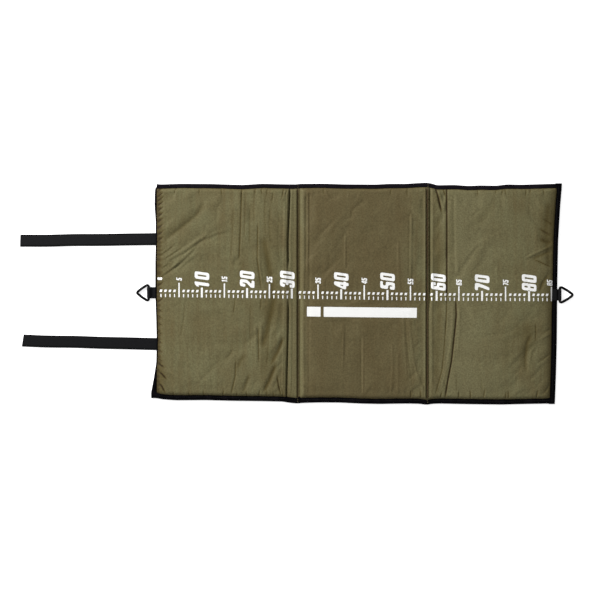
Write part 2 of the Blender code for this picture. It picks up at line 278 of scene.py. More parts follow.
class Sky(Finish):
    """The world's own shader, with the same way of adding nodes."""

    def __init__(self):
        world = bpy.data.worlds.new("sky")
        world.use_nodes = True
        bpy.context.scene.world = world
        self.tree = world.node_tree
        self.shader = self.tree.nodes["Background"]


sky = Sky()
sky.drive("Color", (1.0, 1.0, 1.0))
sky.drive("Strength", seen_directly(sky) * (1 - SKY_STRENGTH) + SKY_STRENGTH)
print("sky fills with", SKY_STRENGTH)

# %% [markdown]
# The nylon face is a tight plain weave with a soft satin gloss. Its colour wanders between olive and brown,
# and painted shade darkens it in creases, along the padding's edges and in the sewn channels. The middle
# panel was cut the other way of the cloth and looks browner, and a painted light makes the right panel paler
# beside its seam. The painted shade, with the darker nap, is left in a value on each vertex, which the finish
# reads.

# %% Face cloth
OLIVE = linear(119, 115, 82)
BROWN = linear(108, 97, 65)
MIDDLE_BROWN = linear(99, 86, 57)
PAINTED_LIGHT_OLIVE = linear(130, 125, 91)
# Painted shade: CREASE_SHADE and CREASE_DARK darken creases, the padding's edges and the sewn channels.
CREASE_SHADE = linear(90, 80, 46)
CREASE_DARK = linear(42, 31, 15)
WEAVE_PITCH = 0.9 * MM
WEAVE_DEPTH = 0.05 * MM
MIDDLE_START, MIDDLE_END = -0.120, 0.076
MIDDLE_FADE, MIDDLE_LONG_FADE = 0.012, 0.045
PALE_START, PALE_FULL, PALE_ENDS, PALE_GONE = 0.160, 0.185, 0.225, 0.330
PATCH_SCALE, STREAK_SCALE, FLECK_SCALE, NAP_SCALE = 14.0, 9.0, 330.0, 260.0
UPRIGHT = (12.0, 1.1, 1.0)
WANDER_SHARE, MIDDLE_SHARE, PALE_SHARE = 0.45, 0.65, 0.6
WEAVE_SHARE, FLECK_SHARE, NAP_DEPTH = 0.10, 0.36, 1.5
FACE_ROUGH, ROUGH_SPREAD = 0.56, 0.08


def woven(x, y, pitch):
    """Over and under threads, from 0 to 1."""
    turn = 2 * math.pi / pitch
    over = (x * turn).sine() * (y * turn).sine()
    return over * 0.5 + 0.5


face = Finish("face_cloth", Roughness=0.6, Specular_IOR_Level=0.1)
(x, y, _), here = face.places()
patches = face.noise(here, PATCH_SCALE, 3.0).between(0.38, 0.66)
streaks = face.noise(here, STREAK_SCALE, 3.0, UPRIGHT).between(0.38, 0.70)
in_middle = x.between(MIDDLE_START - MIDDLE_FADE, MIDDLE_START)
in_middle = in_middle * (1 - x.between(MIDDLE_END, MIDDLE_END + MIDDLE_LONG_FADE))
cloth_colour = face.mix(patches * WANDER_SHARE + streaks * WANDER_SHARE, OLIVE, BROWN)
cloth_colour = face.mix(in_middle * MIDDLE_SHARE, cloth_colour, MIDDLE_BROWN)
# Painted light: the right panel's cloth is paler beside its seam, where more light falls on it.
painted_light_beside_seam = x.between(PALE_START, PALE_FULL) * (1 - x.between(PALE_ENDS, PALE_GONE))
cloth_colour = face.mix(painted_light_beside_seam * PALE_SHARE, cloth_colour, PAINTED_LIGHT_OLIVE)
# Painted shade of creases, edges and channels, with the darker nap, comes in as the crease value.
crease = face.attribute("crease")
cloth_colour = face.mix(crease.between(0.0, 0.5), cloth_colour, CREASE_SHADE)
cloth_colour = face.mix(crease.between(0.5, 1.0), cloth_colour, CREASE_DARK)
weave = woven(x, y, WEAVE_PITCH)
flecks = face.noise(here, FLECK_SCALE, 3.0).between(0.30, 0.70)
face.drive("Base Color", face.mix(weave * WEAVE_SHARE + flecks * FLECK_SHARE, cloth_colour, CREASE_DARK))
face.drive("Roughness", patches * ROUGH_SPREAD + FACE_ROUGH)
face.bump(weave + face.noise(here, NAP_SCALE, 2.0) * NAP_DEPTH, WEAVE_DEPTH)
print("face cloth weave is", WEAVE_PITCH / MM, "mm")

# %% [markdown]
# The rest of the mat is nearly black: a coated cloth under it, a ribbed binding tape, tape with hooks for
# the straps, looped patches that they stick to, and painted wire. They differ in their grain, so each has
# its own height pattern and its own gloss.

# %% Underside cloth and binding tape
FINE_RELIEF = 0.08 * MM
UNDER_BLACK = linear(38, 38, 40)
UNDER_WORN = linear(52, 51, 50)
UNDER_PITCH = 1.6 * MM
TAPE_BLACK = linear(2, 2, 3)
TAPE_GREY = linear(30, 26, 32)
TAPE_RIB = 0.8 * MM
TAPE_PALE_Y = 0.21
TAPE_DARK_X, TAPE_DARK_FADE = 0.39, 0.03
RUB_SHARE, RIB_SHARE, PALE_TAPE_SHARE, DARK_TAPE_SHARE = 0.35, 0.15, 0.45, 0.85

under = Finish("under_cloth", Roughness=0.6, Specular_IOR_Level=0.4)
(x, y, _), here = under.places()
wear = under.noise(here, 30.0, 4.0).between(0.45, 0.75)
under.drive("Base Color", under.mix(wear, UNDER_BLACK, UNDER_WORN))
under.drive("Roughness", wear * 0.15 + 0.5)
under.bump(woven(x, y, UNDER_PITCH), FINE_RELIEF)

tape = Finish("binding_tape", Roughness=0.7, Specular_IOR_Level=0.02)
(x, y, _), here = tape.places()
ribs = woven(x + y, x - y, TAPE_RIB)
rubbed = tape.noise(here, 90.0, 3.0).between(0.45, 0.8)
# The upper side's tape is paler, a painted light where it faces the lamp, and the right end's is made darker.
wear_and_painted_light = rubbed * RUB_SHARE + ribs * RIB_SHARE + y.between(0.0, TAPE_PALE_Y) * PALE_TAPE_SHARE
wear_and_painted_light = wear_and_painted_light * (1 - x.between(TAPE_DARK_X, TAPE_DARK_X + TAPE_DARK_FADE) * DARK_TAPE_SHARE)
tape.drive("Base Color", tape.mix(wear_and_painted_light, TAPE_BLACK, TAPE_GREY))
tape.drive("Roughness", 0.7 - rubbed * 0.15)
tape.bump(ribs, FINE_RELIEF)
print("the tape's ribs are", TAPE_RIB / MM, "mm apart")

# %% Webbing, hooks and loops
WEB_BLACK = linear(10, 10, 11)
WEB_GREY = linear(34, 34, 36)
WEB_PITCH = 1.3 * MM
HOOK_GREY = linear(37, 37, 39)
HOOK_DARK = linear(3, 3, 4)
HOOK_PITCH = 1.1 * MM
LOOP_GREY = linear(46, 46, 48)
STUB_SHARE, FLUFF_SHARE = 0.45, 0.75
CURL_SCALE = 900.0

webbing = Finish("webbing", Roughness=0.75, Specular_IOR_Level=0.05)
(x, y, _), here = webbing.places()
cords = woven(x * 0.6, y, WEB_PITCH)
webbing.drive("Base Color", webbing.mix(cords * 0.7 + webbing.noise(here, 300.0) * 0.3, WEB_BLACK, WEB_GREY))
webbing.drive("Roughness", cords * 0.1 + 0.7)
webbing.bump(cords, 2 * FINE_RELIEF)

hooks = Finish("hook_tape", Roughness=0.75, Specular_IOR_Level=0.08)
(x, y, _), here = hooks.places()
stubs = woven(x, y, HOOK_PITCH)
in_pile = hooks.attribute("pile")
fluff = hooks.noise(here, 400.0, 2.0)
hooked = in_pile * (stubs * STUB_SHARE + fluff * FLUFF_SHARE)
hooks.drive("Base Color", hooks.mix(hooked, HOOK_DARK, HOOK_GREY))
hooks.drive("Roughness", 0.7 + in_pile * 0.15)
hooks.bump(stubs * in_pile * 2.0 + fluff * 0.5, FINE_RELIEF)

loops = Finish("loop_pile", Roughness=0.9, Specular_IOR_Level=0.1, Sheen_Weight=0.15)
_, here = loops.places()
curls = loops.add("ShaderNodeTexVoronoi", None, {"Vector": here, "Scale": CURL_SCALE})
loops.drive("Base Color", loops.mix(curls.between(0.1, 0.8), HOOK_DARK, LOOP_GREY))
loops.bump(curls, 2 * FINE_RELIEF)
print("hooks stand", HOOK_PITCH / MM, "mm apart")

# %% Wire, foam and thread
WIRE_BLACK = linear(3, 3, 4)
FOAM_PALE = linear(196, 192, 180)
FOAM_PORE = linear(150, 146, 134)
THREAD_OLIVE = linear(120, 112, 78)
THREAD_BROWN = linear(112, 86, 62)
PLY_PITCH = 0.5 * MM
SCUFF_SCALE, PORE_SCALE = 260.0, 500.0

painted = Finish("painted_wire", Roughness=0.5, Specular_IOR_Level=0.06)
_, here = painted.places()
scuffs = painted.noise(here, SCUFF_SCALE, 3.0).between(0.55, 0.8)
painted.drive("Base Color", painted.mix(scuffs * 0.2, WIRE_BLACK, WEB_GREY))
painted.drive("Roughness", scuffs * 0.2 + 0.45)
painted.bump(painted.noise(here, 500.0), FINE_RELIEF / 4)

foam = Finish("foam", Roughness=0.95, Specular_IOR_Level=0.2)
_, here = foam.places()
pores = foam.add("ShaderNodeTexVoronoi", None, {"Vector": here, "Scale": PORE_SCALE})
foam.drive("Base Color", foam.mix(pores.between(0.1, 0.7), FOAM_PORE, FOAM_PALE))
foam.bump(pores, 2 * FINE_RELIEF)


def thread_finish(name, colour, between_plies, depth, gloss):
    """Twisted thread, whose plies run slanting across it."""
    finish = Finish(name, Roughness=0.6, Specular_IOR_Level=gloss)
    (x, y, _), _ = finish.places()
    plies = ((x + y) * (2 * math.pi / PLY_PITCH)).sine() * 0.5 + 0.5
    finish.drive("Base Color", finish.mix(plies * depth, colour, between_plies))
    finish.bump(plies, FINE_RELIEF / 2)
    return finish


thread = thread_finish("olive_thread", THREAD_OLIVE, CREASE_DARK, 0.5, 0.2)
brown_thread = thread_finish("brown_thread", THREAD_BROWN, CREASE_DARK, 0.4, 0.2)
black_thread = thread_finish("black_thread", TAPE_BLACK, HOOK_GREY, 0.6, 0.15)
print("plies are", PLY_PITCH / MM, "mm apart")

# %% Printing ink
PRINT_WHITE = linear(250, 250, 248)

ink = Finish("printed_ink", Roughness=0.55, Specular_IOR_Level=0.4)
(x, y, _), here = ink.places()
thin_ink = ink.noise(here, 900.0, 2.0).between(0.62, 0.85)
ink.drive("Base Color", ink.mix(thin_ink * 0.12, PRINT_WHITE, OLIVE))
ink.drive("Roughness", 0.5 + thin_ink * 0.1)
ink.bump(woven(x, y, WEAVE_PITCH), WEAVE_DEPTH)
print(len(bpy.data.materials), "materials so far")

# %% [markdown]
# The mat isn't a true rectangle: its edges wander by a few millimetres, the right edge leans and the lower
# left corner is pulled out to a point. Lines through places read off the photograph say how far each edge
# is from its solid's edge, smoothed so that a tape can follow them.

# %% Edges that wander
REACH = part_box("left_upper_binding")[0].x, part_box("right_end_binding")[1].x
HALF_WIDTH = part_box("right_end_binding")[1].y
LONG_SIDES, ENDS = (("upper", 1), ("lower", -1)), (("left", -1), ("right", 1))
EDGE_SMOOTHING = 0.008
SMOOTHING_STEPS, SMOOTHING_WINDOW = 8, 19


def smooth_line(places, values, smoothing=EDGE_SMOOTHING):
    """A function through the given values, with its corners rounded off."""
    order = np.argsort(places)
    places, values = np.asarray(places)[order], np.asarray(values)[order]
    fine = np.arange(places[0] - smoothing, places[-1] + smoothing, smoothing / SMOOTHING_STEPS)
    raw = np.interp(fine, places, values)
    window = np.hanning(SMOOTHING_WINDOW)[1:-1]
    padded = np.pad(raw, len(window) // 2, mode="edge")
    smooth = np.convolve(padded, window / window.sum(), "valid")
    return lambda at: np.interp(at, fine, smooth)


TOP_EDGE_PIXELS = (
    (155, 184.6), (160, 185.3), (181, 184.6), (211, 184.8), (242, 185.8), (262, 184.6), (283, 185.1),
    (297, 185.2), (299, 184.7), (323, 184.5), (344, 185.2), (376, 185.4), (389, 184.7), (406, 184.7),
    (415, 184.1), (427, 183.5), (433, 184.6), (437, 186.1), (454, 185.8), (469, 186.8), (481, 186.3),
    (497, 186.6), (507, 185.3), (522, 185.6), (556, 184.6), (562, 184.2),
)
LOW_EDGE_PIXELS = (
    (151, 397.6), (156, 397.4), (162, 398.7), (176, 399.7), (205, 399.5), (232, 400.2), (257, 400.5),
    (283, 401.0), (288, 402.0), (297, 402.9), (303, 402.3), (320, 401.9), (340, 402.0), (361, 403.0),
    (379, 403.4), (406, 403.0), (419, 403.2), (427, 404.2), (433, 403.2), (440, 403.0), (469, 403.6),
    (502, 404.0), (532, 403.3), (550, 403.0), (554, 403.4),
)
LEFT_EDGE_PIXELS = (
    (184, 156.6), (190, 154.9), (205, 154.5), (221, 155.7), (240, 155.8), (262, 155.35), (293, 155.3),
    (320, 156.2), (345, 156.7), (366, 156.3), (383, 153.8), (398, 151.0),
)
RIGHT_EDGE_PIXELS = (
    (183, 561.7), (190, 561.3), (205, 560.0), (221, 559.0), (240, 557.9), (262, 557.4), (290, 556.9),
    (320, 556.7), (340, 556.5), (370, 555.8), (400, 554.7), (404, 554.4),
)
# The tape's round turn catches the white surroundings, so an edge is seen this many pixels further in.
TOP_TURN_SEEN, TURN_SEEN, LEFT_TURN_SEEN = 1.1, 0.8, 0.3
top_px, top_py = np.transpose(TOP_EDGE_PIXELS)
low_px, low_py = np.transpose(LOW_EDGE_PIXELS)
left_py, left_px = np.transpose(LEFT_EDGE_PIXELS)
right_py, right_px = np.transpose(RIGHT_EDGE_PIXELS)
top_drift = smooth_line(place_x(top_px), place_y(top_py - TOP_TURN_SEEN) - HALF_WIDTH)
low_drift = smooth_line(place_x(low_px), place_y(low_py + TURN_SEEN) + HALF_WIDTH)
left_drift = smooth_line(place_y(left_py), place_x(left_px - LEFT_TURN_SEEN) - REACH[0])
right_drift = smooth_line(place_y(right_py), place_x(right_px + TURN_SEEN) - REACH[1])
LEFT_STILL, RIGHT_STILL = -0.20, 0.18
LEFT_COVER_PULL = -0.001


def wander(x, y, cover=False):
    """Where a point of the true rectangle lies on the real mat. The left cover keeps off the corner."""
    to_left = np.clip((LEFT_STILL - x) / (LEFT_STILL - REACH[0]), 0, None)
    to_right = np.clip((x - RIGHT_STILL) / (REACH[1] - RIGHT_STILL), 0, None)
    left = left_drift(y)
    if cover:
        left = np.maximum(left, LEFT_COVER_PULL)
    moved_x = x + to_left * left + to_right * right_drift(y)
    up, down = np.clip(y / HALF_WIDTH, 0, None), np.clip(-y / HALF_WIDTH, 0, None)
    return moved_x, y + up * top_drift(moved_x) + down * low_drift(moved_x)


print("right edge drifts", [round(float(right_drift(v)) / MM, 1) for v in (-0.2, 0, 0.23)], "mm")

# %% [markdown]
# Padding rises from its seams along a rounded shoulder and is nearly flat on top. The places of the seams
# are read from the solids. The groove beside the left fold isn't straight on the real mat, so its line comes
# from the photograph, and the padding on both sides of it follows.

# %% Seams
MARGIN_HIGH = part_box("right_fold_top_cover")[1].z
PANEL_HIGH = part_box("middle_top_cover")[1].z
SPINE_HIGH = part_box("spine_top_cover")[1].z
PAD_EDGE_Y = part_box("left_end_binding")[1].y
BINDING_WIDTH = 0.0095
# The legs of the lower and right tape are this much wider, and the padding starts this much further in.
LOW_EXTRA, RIGHT_EXTRA = 0.0048, 0.0044
LOW_MORE, RIGHT_MORE = 0.0017, 0.0021
RIGHT_MORE_ABOVE = 0.3
LEFT_BINDING = 0.0029
LEFT_CHANNEL_HALF = 0.0048
SPINE_MARGIN = 0.0010
GROOVE_HALF = 0.0005
RIGHT_MARGIN = 0.0006
MIDDLE_MARGIN = -0.0020
LOW_PULL = 0.0030
LOW_FROM_Y, LOW_FADE = 0.01, 0.06
GROOVE_PIXELS = (
    (184, 290.0), (210, 289.0), (240, 287.8), (293, 288.4), (330, 288.0), (370, 287.0), (404, 286.4),
)


def halfway(left_node, right_node):
    """The middle of the gap between two solids that lie side by side."""
    return (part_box(left_node)[1].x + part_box(right_node)[0].x) / 2


LEFT_SEAM = halfway("spine_top_cover", "middle_top_cover")
CREASE_LINE = halfway("left_top_cover", "spine_top_cover")
RIGHT_SEAM_START = halfway("middle_top_cover", "right_fold_top_cover")
RIGHT_SEAM_END = halfway("right_fold_top_cover", "right_top_cover")
LEFT_PAD_START = REACH[0] + LEFT_BINDING
MIDDLE_PAD = LEFT_SEAM + LEFT_CHANNEL_HALF, RIGHT_SEAM_START - MIDDLE_MARGIN
groove_py, groove_px = zip(*GROOVE_PIXELS)
groove_x = smooth_line(place_y(groove_py), place_x(groove_px))


def low_half(y):
    """0 on the upper half of the mat and 1 on the lower, where some seams look different."""
    return np.clip((LOW_FROM_Y - y) / LOW_FADE, 0, 1)


def left_of_groove(y):
    return groove_x(y) - GROOVE_HALF


def right_of_groove(y):
    return groove_x(y) + GROOVE_HALF


def right_start(y):
    """The right panel's padding reaches over the sewn channel a little on the lower half."""
    return RIGHT_SEAM_END + RIGHT_MARGIN - LOW_PULL * low_half(y)


def right_end(y):
    more = RIGHT_MORE * (RIGHT_MORE_ABOVE + (1 - RIGHT_MORE_ABOVE) * low_half(y))
    return REACH[1] - BINDING_WIDTH - more


def inward(y):
    """How far inside the long side of the padding a place lies."""
    return PAD_EDGE_Y - LOW_MORE * (y < 0) - abs(y)


print("seams at", [round(seam / MM) for seam in (CREASE_LINE, LEFT_SEAM, RIGHT_SEAM_END)], "mm")

# %% Padding
OUTER_ROLL, SIDE_ROLL, GROOVE_ROLL, SPINE_ROLL = 0.020, 0.0085, 0.0045, 0.0035
LIT_SEAM_ROLL, DARK_SEAM_ROLL, RIGHT_SEAM_ROLL = 0.008, 0.0030, 0.006
PAD_EASE = 0.91
CROWN_SHARE = 0.05


def shoulder(inside, roll):
    """0 at the padding's edge and 1 where its shoulder is over, an ellipse between."""
    share = np.clip(inside / roll, 0, 1)
    return np.sqrt(1 - (1 - share) ** 2)


def padding(start, end, roll_start, roll_end, high):
    """The height over the sewn margin of one padded strip, as a function of the place on the mat."""

    def height(x, y):
        low, top = (start(y) if callable(start) else start), (end(y) if callable(end) else end)
        half = (top - low) / 2
        off_x, off_y = (x - low - half) / half, y / PAD_EDGE_Y
        rise = shoulder(x - low, roll_start) * shoulder(top - x, roll_end)
        rise = rise * shoulder(inward(y), SIDE_ROLL)
        dome = 1 - CROWN_SHARE * (np.clip(off_x, -1, 1) ** 2 + off_y**2) / 2
        return (high * PAD_EASE - MARGIN_HIGH) * rise * dome

    return height


strips = (
    padding(LEFT_PAD_START, left_of_groove, OUTER_ROLL, GROOVE_ROLL, PANEL_HIGH),
    padding(right_of_groove, LEFT_SEAM - SPINE_MARGIN, SPINE_ROLL, SPINE_ROLL, SPINE_HIGH),
    padding(*MIDDLE_PAD, LIT_SEAM_ROLL, DARK_SEAM_ROLL, PANEL_HIGH),
    padding(right_start, right_end, RIGHT_SEAM_ROLL, OUTER_ROLL, PANEL_HIGH),
)
print(len(strips), "padded strips")

# %% Groove and channels
# The groove is closed where the ruler's 30 is printed across it.
CLOSED_Y = float(place_y(285.0))
CLOSED_HALF, CLOSED_REACH = 0.046, 0.0065
# Spare cloth stands up inside the two sewn channels: the middle of each, how far it reaches, how high.
CHANNEL_SPARES = (
    ((RIGHT_SEAM_START + RIGHT_SEAM_END) / 2, 0.0046, 5.2 * MM),
    (LEFT_SEAM + 0.0018, 0.0024, 1.0 * MM),
)


def groove_closed(y):
    """How far the groove is bridged, from 0 to 1."""
    return np.exp(-(((y - CLOSED_Y) / CLOSED_HALF) ** 6))


def pad_height(x, y):
    """The height of the padded mat, before any crease."""
    base = MARGIN_HIGH + sum(strip(x, y) for strip in strips)
    for centre, reach, high in CHANNEL_SPARES:
        spare = high * shoulder(PAD_EDGE_Y - abs(y), SIDE_ROLL)
        base = base + spare * np.exp(-(((x - centre) / reach) ** 4))
    middle = groove_x(y)
    near = abs(x - middle) < CLOSED_REACH
    across = np.clip((x - middle) / (2 * CLOSED_REACH) + 0.5, 0, 1)
    left_bank, spine_bank = strips[0](middle - CLOSED_REACH, y), strips[1](middle + CLOSED_REACH, y)
    bridge = MARGIN_HIGH + left_bank * (1 - across) + spine_bank * across
    return base + groove_closed(y) * near * np.maximum(bridge - base, 0)


middle_high = pad_height(np.array([0.0]), np.array([0.0]))[0]
print("padding is", round(float(middle_high) / MM, 1), "mm high in the middle")

# %% [markdown]
# Nylon over foam keeps every fold it has had. Each crease is a line through a few places from the
# photograph with a width, a height and a way of bending: a groove, a ridge, or a step that is raised on one
# side and pressed on the other. Its height fades towards both ends, and deep grooves also get painted shade
# in the cloth's colour.

# %% Creases of the panels
GROOVE, RIDGE, STEP = "groove", "ridge", "step"
# Each line: kind, width in mm, height in mm, darkness of its painted shade, and its places in photo pixels, x
# and y in turn.
LEFT_CREASES = (
    (GROOVE, 2.0, 0.9, 0.45, 242, 186, 240.6, 227, 239, 262),
    (GROOVE, 1.8, 0.8, 0.45, 257.9, 222, 257.3, 260, 261.4, 289),
    (RIDGE, 3.0, 0.5, 0.0, 259.6, 215, 259.2, 262, 263, 290),
    (GROOVE, 9.0, 1.8, 0.30, 263, 236, 269, 266, 274, 300, 266, 336, 262, 350),
    (GROOVE, 8.0, 1.0, 0.14, 252, 200, 250, 226),
    (GROOVE, 6.0, 0.9, 0.06, 239, 255, 232, 268),
    (GROOVE, 1.6, 0.3, 0.22, 245.6, 190, 245, 214, 244.4, 238),
    (GROOVE, 2.4, 0.4, 0.20, 250.4, 206, 249.6, 226, 249.8, 246),
    (GROOVE, 1.5, 0.3, 0.20, 254.8, 188, 254, 206, 254.4, 226),
    (GROOVE, 2.0, 0.3, 0.18, 265.2, 194, 264.6, 214, 266, 236),
    (GROOVE, 2.6, 0.4, 0.18, 270.2, 206, 269.4, 226, 271, 246),
    (GROOVE, 2.2, 0.3, 0.16, 233.6, 206, 232.6, 230, 231, 258),
    (GROOVE, 2.0, 0.3, 0.16, 279, 210, 278, 240, 279.6, 266),
    (GROOVE, 1.8, 0.3, 0.20, 250.6, 304, 250, 330, 250.6, 352),
    (GROOVE, 1.8, 0.3, 0.18, 270.6, 322, 268, 350, 266.8, 366),
    (GROOVE, 1.5, 0.7, 0.35, 273.6, 190, 271.6, 204),
    (GROOVE, 1.4, 0.8, 0.40, 284.6, 188, 281, 200),
    (GROOVE, 1.4, 0.7, 0.35, 287.6, 188, 285, 197),
    (GROOVE, 8.0, 1.4, 0.14, 164, 240, 180, 230, 198, 214, 206, 203),
    (RIDGE, 8.0, 0.8, 0.0, 160, 232, 176, 221, 194, 204),
    (STEP, 3.0, 1.0, 0.12, 160.4, 277, 170, 270.5, 180.6, 262),
    (STEP, 4.5, 1.3, 0.06, 172, 270, 184, 259, 198, 245),
    (STEP, 5.0, 1.2, 0.03, 180, 256, 196, 243, 210, 235),
    (STEP, 4.0, 0.8, 0.03, 166, 262, 184, 252, 202, 240),
    (STEP, 4.0, 0.6, 0.02, 204, 241, 216, 234, 230, 231),
    (STEP, 2.0, 0.8, 0.20, 157.6, 257, 168.6, 249.4, 176, 243),
    (STEP, 2.0, 0.8, 0.20, 161.4, 260.6, 172, 254, 183, 246.4),
    (STEP, 2.0, 0.9, 0.20, 159, 270, 170, 262.5),
    (GROOVE, 1.8, 0.7, 0.35, 235.2, 296, 234.9, 303, 233.2, 316),
    (GROOVE, 1.8, 0.7, 0.35, 261.4, 296, 260.4, 312),
    (GROOVE, 1.8, 0.8, 0.40, 258.2, 326, 258.6, 345, 258.9, 364),
    (RIDGE, 3.0, 0.6, 0.0, 256, 322, 255.8, 350, 256.6, 372),
    (RIDGE, 3.0, 0.5, 0.0, 261.2, 322, 261.4, 350, 260.6, 378),
    (GROOVE, 5.0, 0.9, 0.10, 226, 362, 233.2, 349),
    (GROOVE, 2.0, 0.8, 0.40, 235.9, 358, 235.4, 376, 230.8, 396),
    (GROOVE, 6.0, 0.7, 0.05, 243, 345, 252, 338, 262, 330),
    (GROOVE, 5.0, 1.5, 0.46, 276.5, 362, 270, 380, 263, 394),
    (GROOVE, 5.0, 1.2, 0.42, 284, 336, 278, 352, 270, 366),
    (GROOVE, 6.0, 0.8, 0.26, 246, 352, 240, 362, 236, 372),
    (GROOVE, 4.5, 0.9, 0.26, 250, 372, 246, 384, 242, 396),
    (GROOVE, 1.8, 1.1, 0.85, 276.9, 374, 278.4, 385, 281.4, 397),
    (GROOVE, 1.4, 0.6, 0.30, 280.6, 384, 283.6, 396),
    (GROOVE, 2.2, 0.5, 0.15, 184.9, 301, 184, 318, 180.8, 338),
    (GROOVE, 6.0, 0.7, 0.05, 199, 382, 217, 364),
    (RIDGE, 2.2, 0.7, 0.0, 284.9, 200, 283.8, 260, 284.4, 300, 283.6, 350, 282.4, 392),
    (GROOVE, 2.2, 1.0, 0.95, 157, 361, 160.5, 365, 165.5, 368.4),
    (GROOVE, 2.4, 1.1, 1.00, 157, 370.5, 162, 374, 167.5, 380.5),
    (GROOVE, 2.4, 1.2, 1.00, 157, 381, 162, 386.5, 166, 394.5),
    (GROOVE, 2.4, 0.9, 0.55, 156.6, 388, 159, 393, 162, 399),
)
SPINE_CREASES = (
    (RIDGE, 1.8, 0.5, 0.0, 292, 188, 290.6, 240, 291, 300, 290.4, 396),
    (GROOVE, 1.4, 0.25, 0.05, 294, 198, 293.2, 260, 293, 330, 292, 392),
)
MIDDLE_CREASES = (
    (RIDGE, 2.0, 0.6, 0.0, 303.8, 190, 304, 260, 303.6, 300),
    (GROOVE, 1.8, 0.5, 0.10, 306.1, 190, 306.3, 240, 306.1, 275),
    (RIDGE, 1.8, 0.7, 0.0, 307.9, 190, 307.9, 240, 307.3, 272),
    (GROOVE, 2.6, 0.5, 0.05, 309.7, 188, 309.5, 260, 309, 330, 308.8, 398),
    (RIDGE, 3.2, 0.8, 0.0, 303.6, 300, 303.4, 350, 304, 398),
    (RIDGE, 2.2, 0.5, 0.0, 348.3, 188, 348.2, 208),
    (RIDGE, 2.0, 0.5, 0.0, 345.6, 232, 345.2, 270),
    (RIDGE, 2.4, 0.7, 0.0, 411.8, 212, 411, 250, 410.8, 290),
    (GROOVE, 2.0, 0.4, 0.08, 409.4, 214, 408.8, 276),
    (RIDGE, 2.6, 0.7, 0.0, 398, 238, 398.8, 270, 400.2, 296),
    (RIDGE, 2.0, 0.6, 0.0, 343.4, 332, 342.8, 372),
    (RIDGE, 1.8, 0.5, 0.0, 363.2, 336, 363, 398),
    (GROOVE, 1.6, 0.4, 0.08, 360.8, 336, 361, 382),
    (RIDGE, 2.6, 0.7, 0.0, 392, 342, 392.8, 366, 391, 396),
    (RIDGE, 3.0, 0.7, 0.0, 398, 350, 397.6, 396),
    (RIDGE, 2.6, 0.9, 0.0, 408.6, 312, 410.6, 336, 413.2, 358, 419.6, 386),
    (GROOVE, 2.0, 0.5, 0.10, 405.4, 312, 406.6, 336, 408.6, 360, 413, 388),
    (RIDGE, 2.2, 0.6, 0.0, 403, 314, 404.6, 346, 407, 380),
    (RIDGE, 2.6, 0.6, 0.0, 417, 372, 425.6, 396),
    (RIDGE, 2.0, 0.7, 0.0, 324.6, 188, 328.6, 198),
    (RIDGE, 4.0, 0.6, 0.0, 340, 218, 331, 228, 329, 234),
    (GROOVE, 4.0, 0.4, 0.04, 330, 250, 329, 268, 326, 276),
)
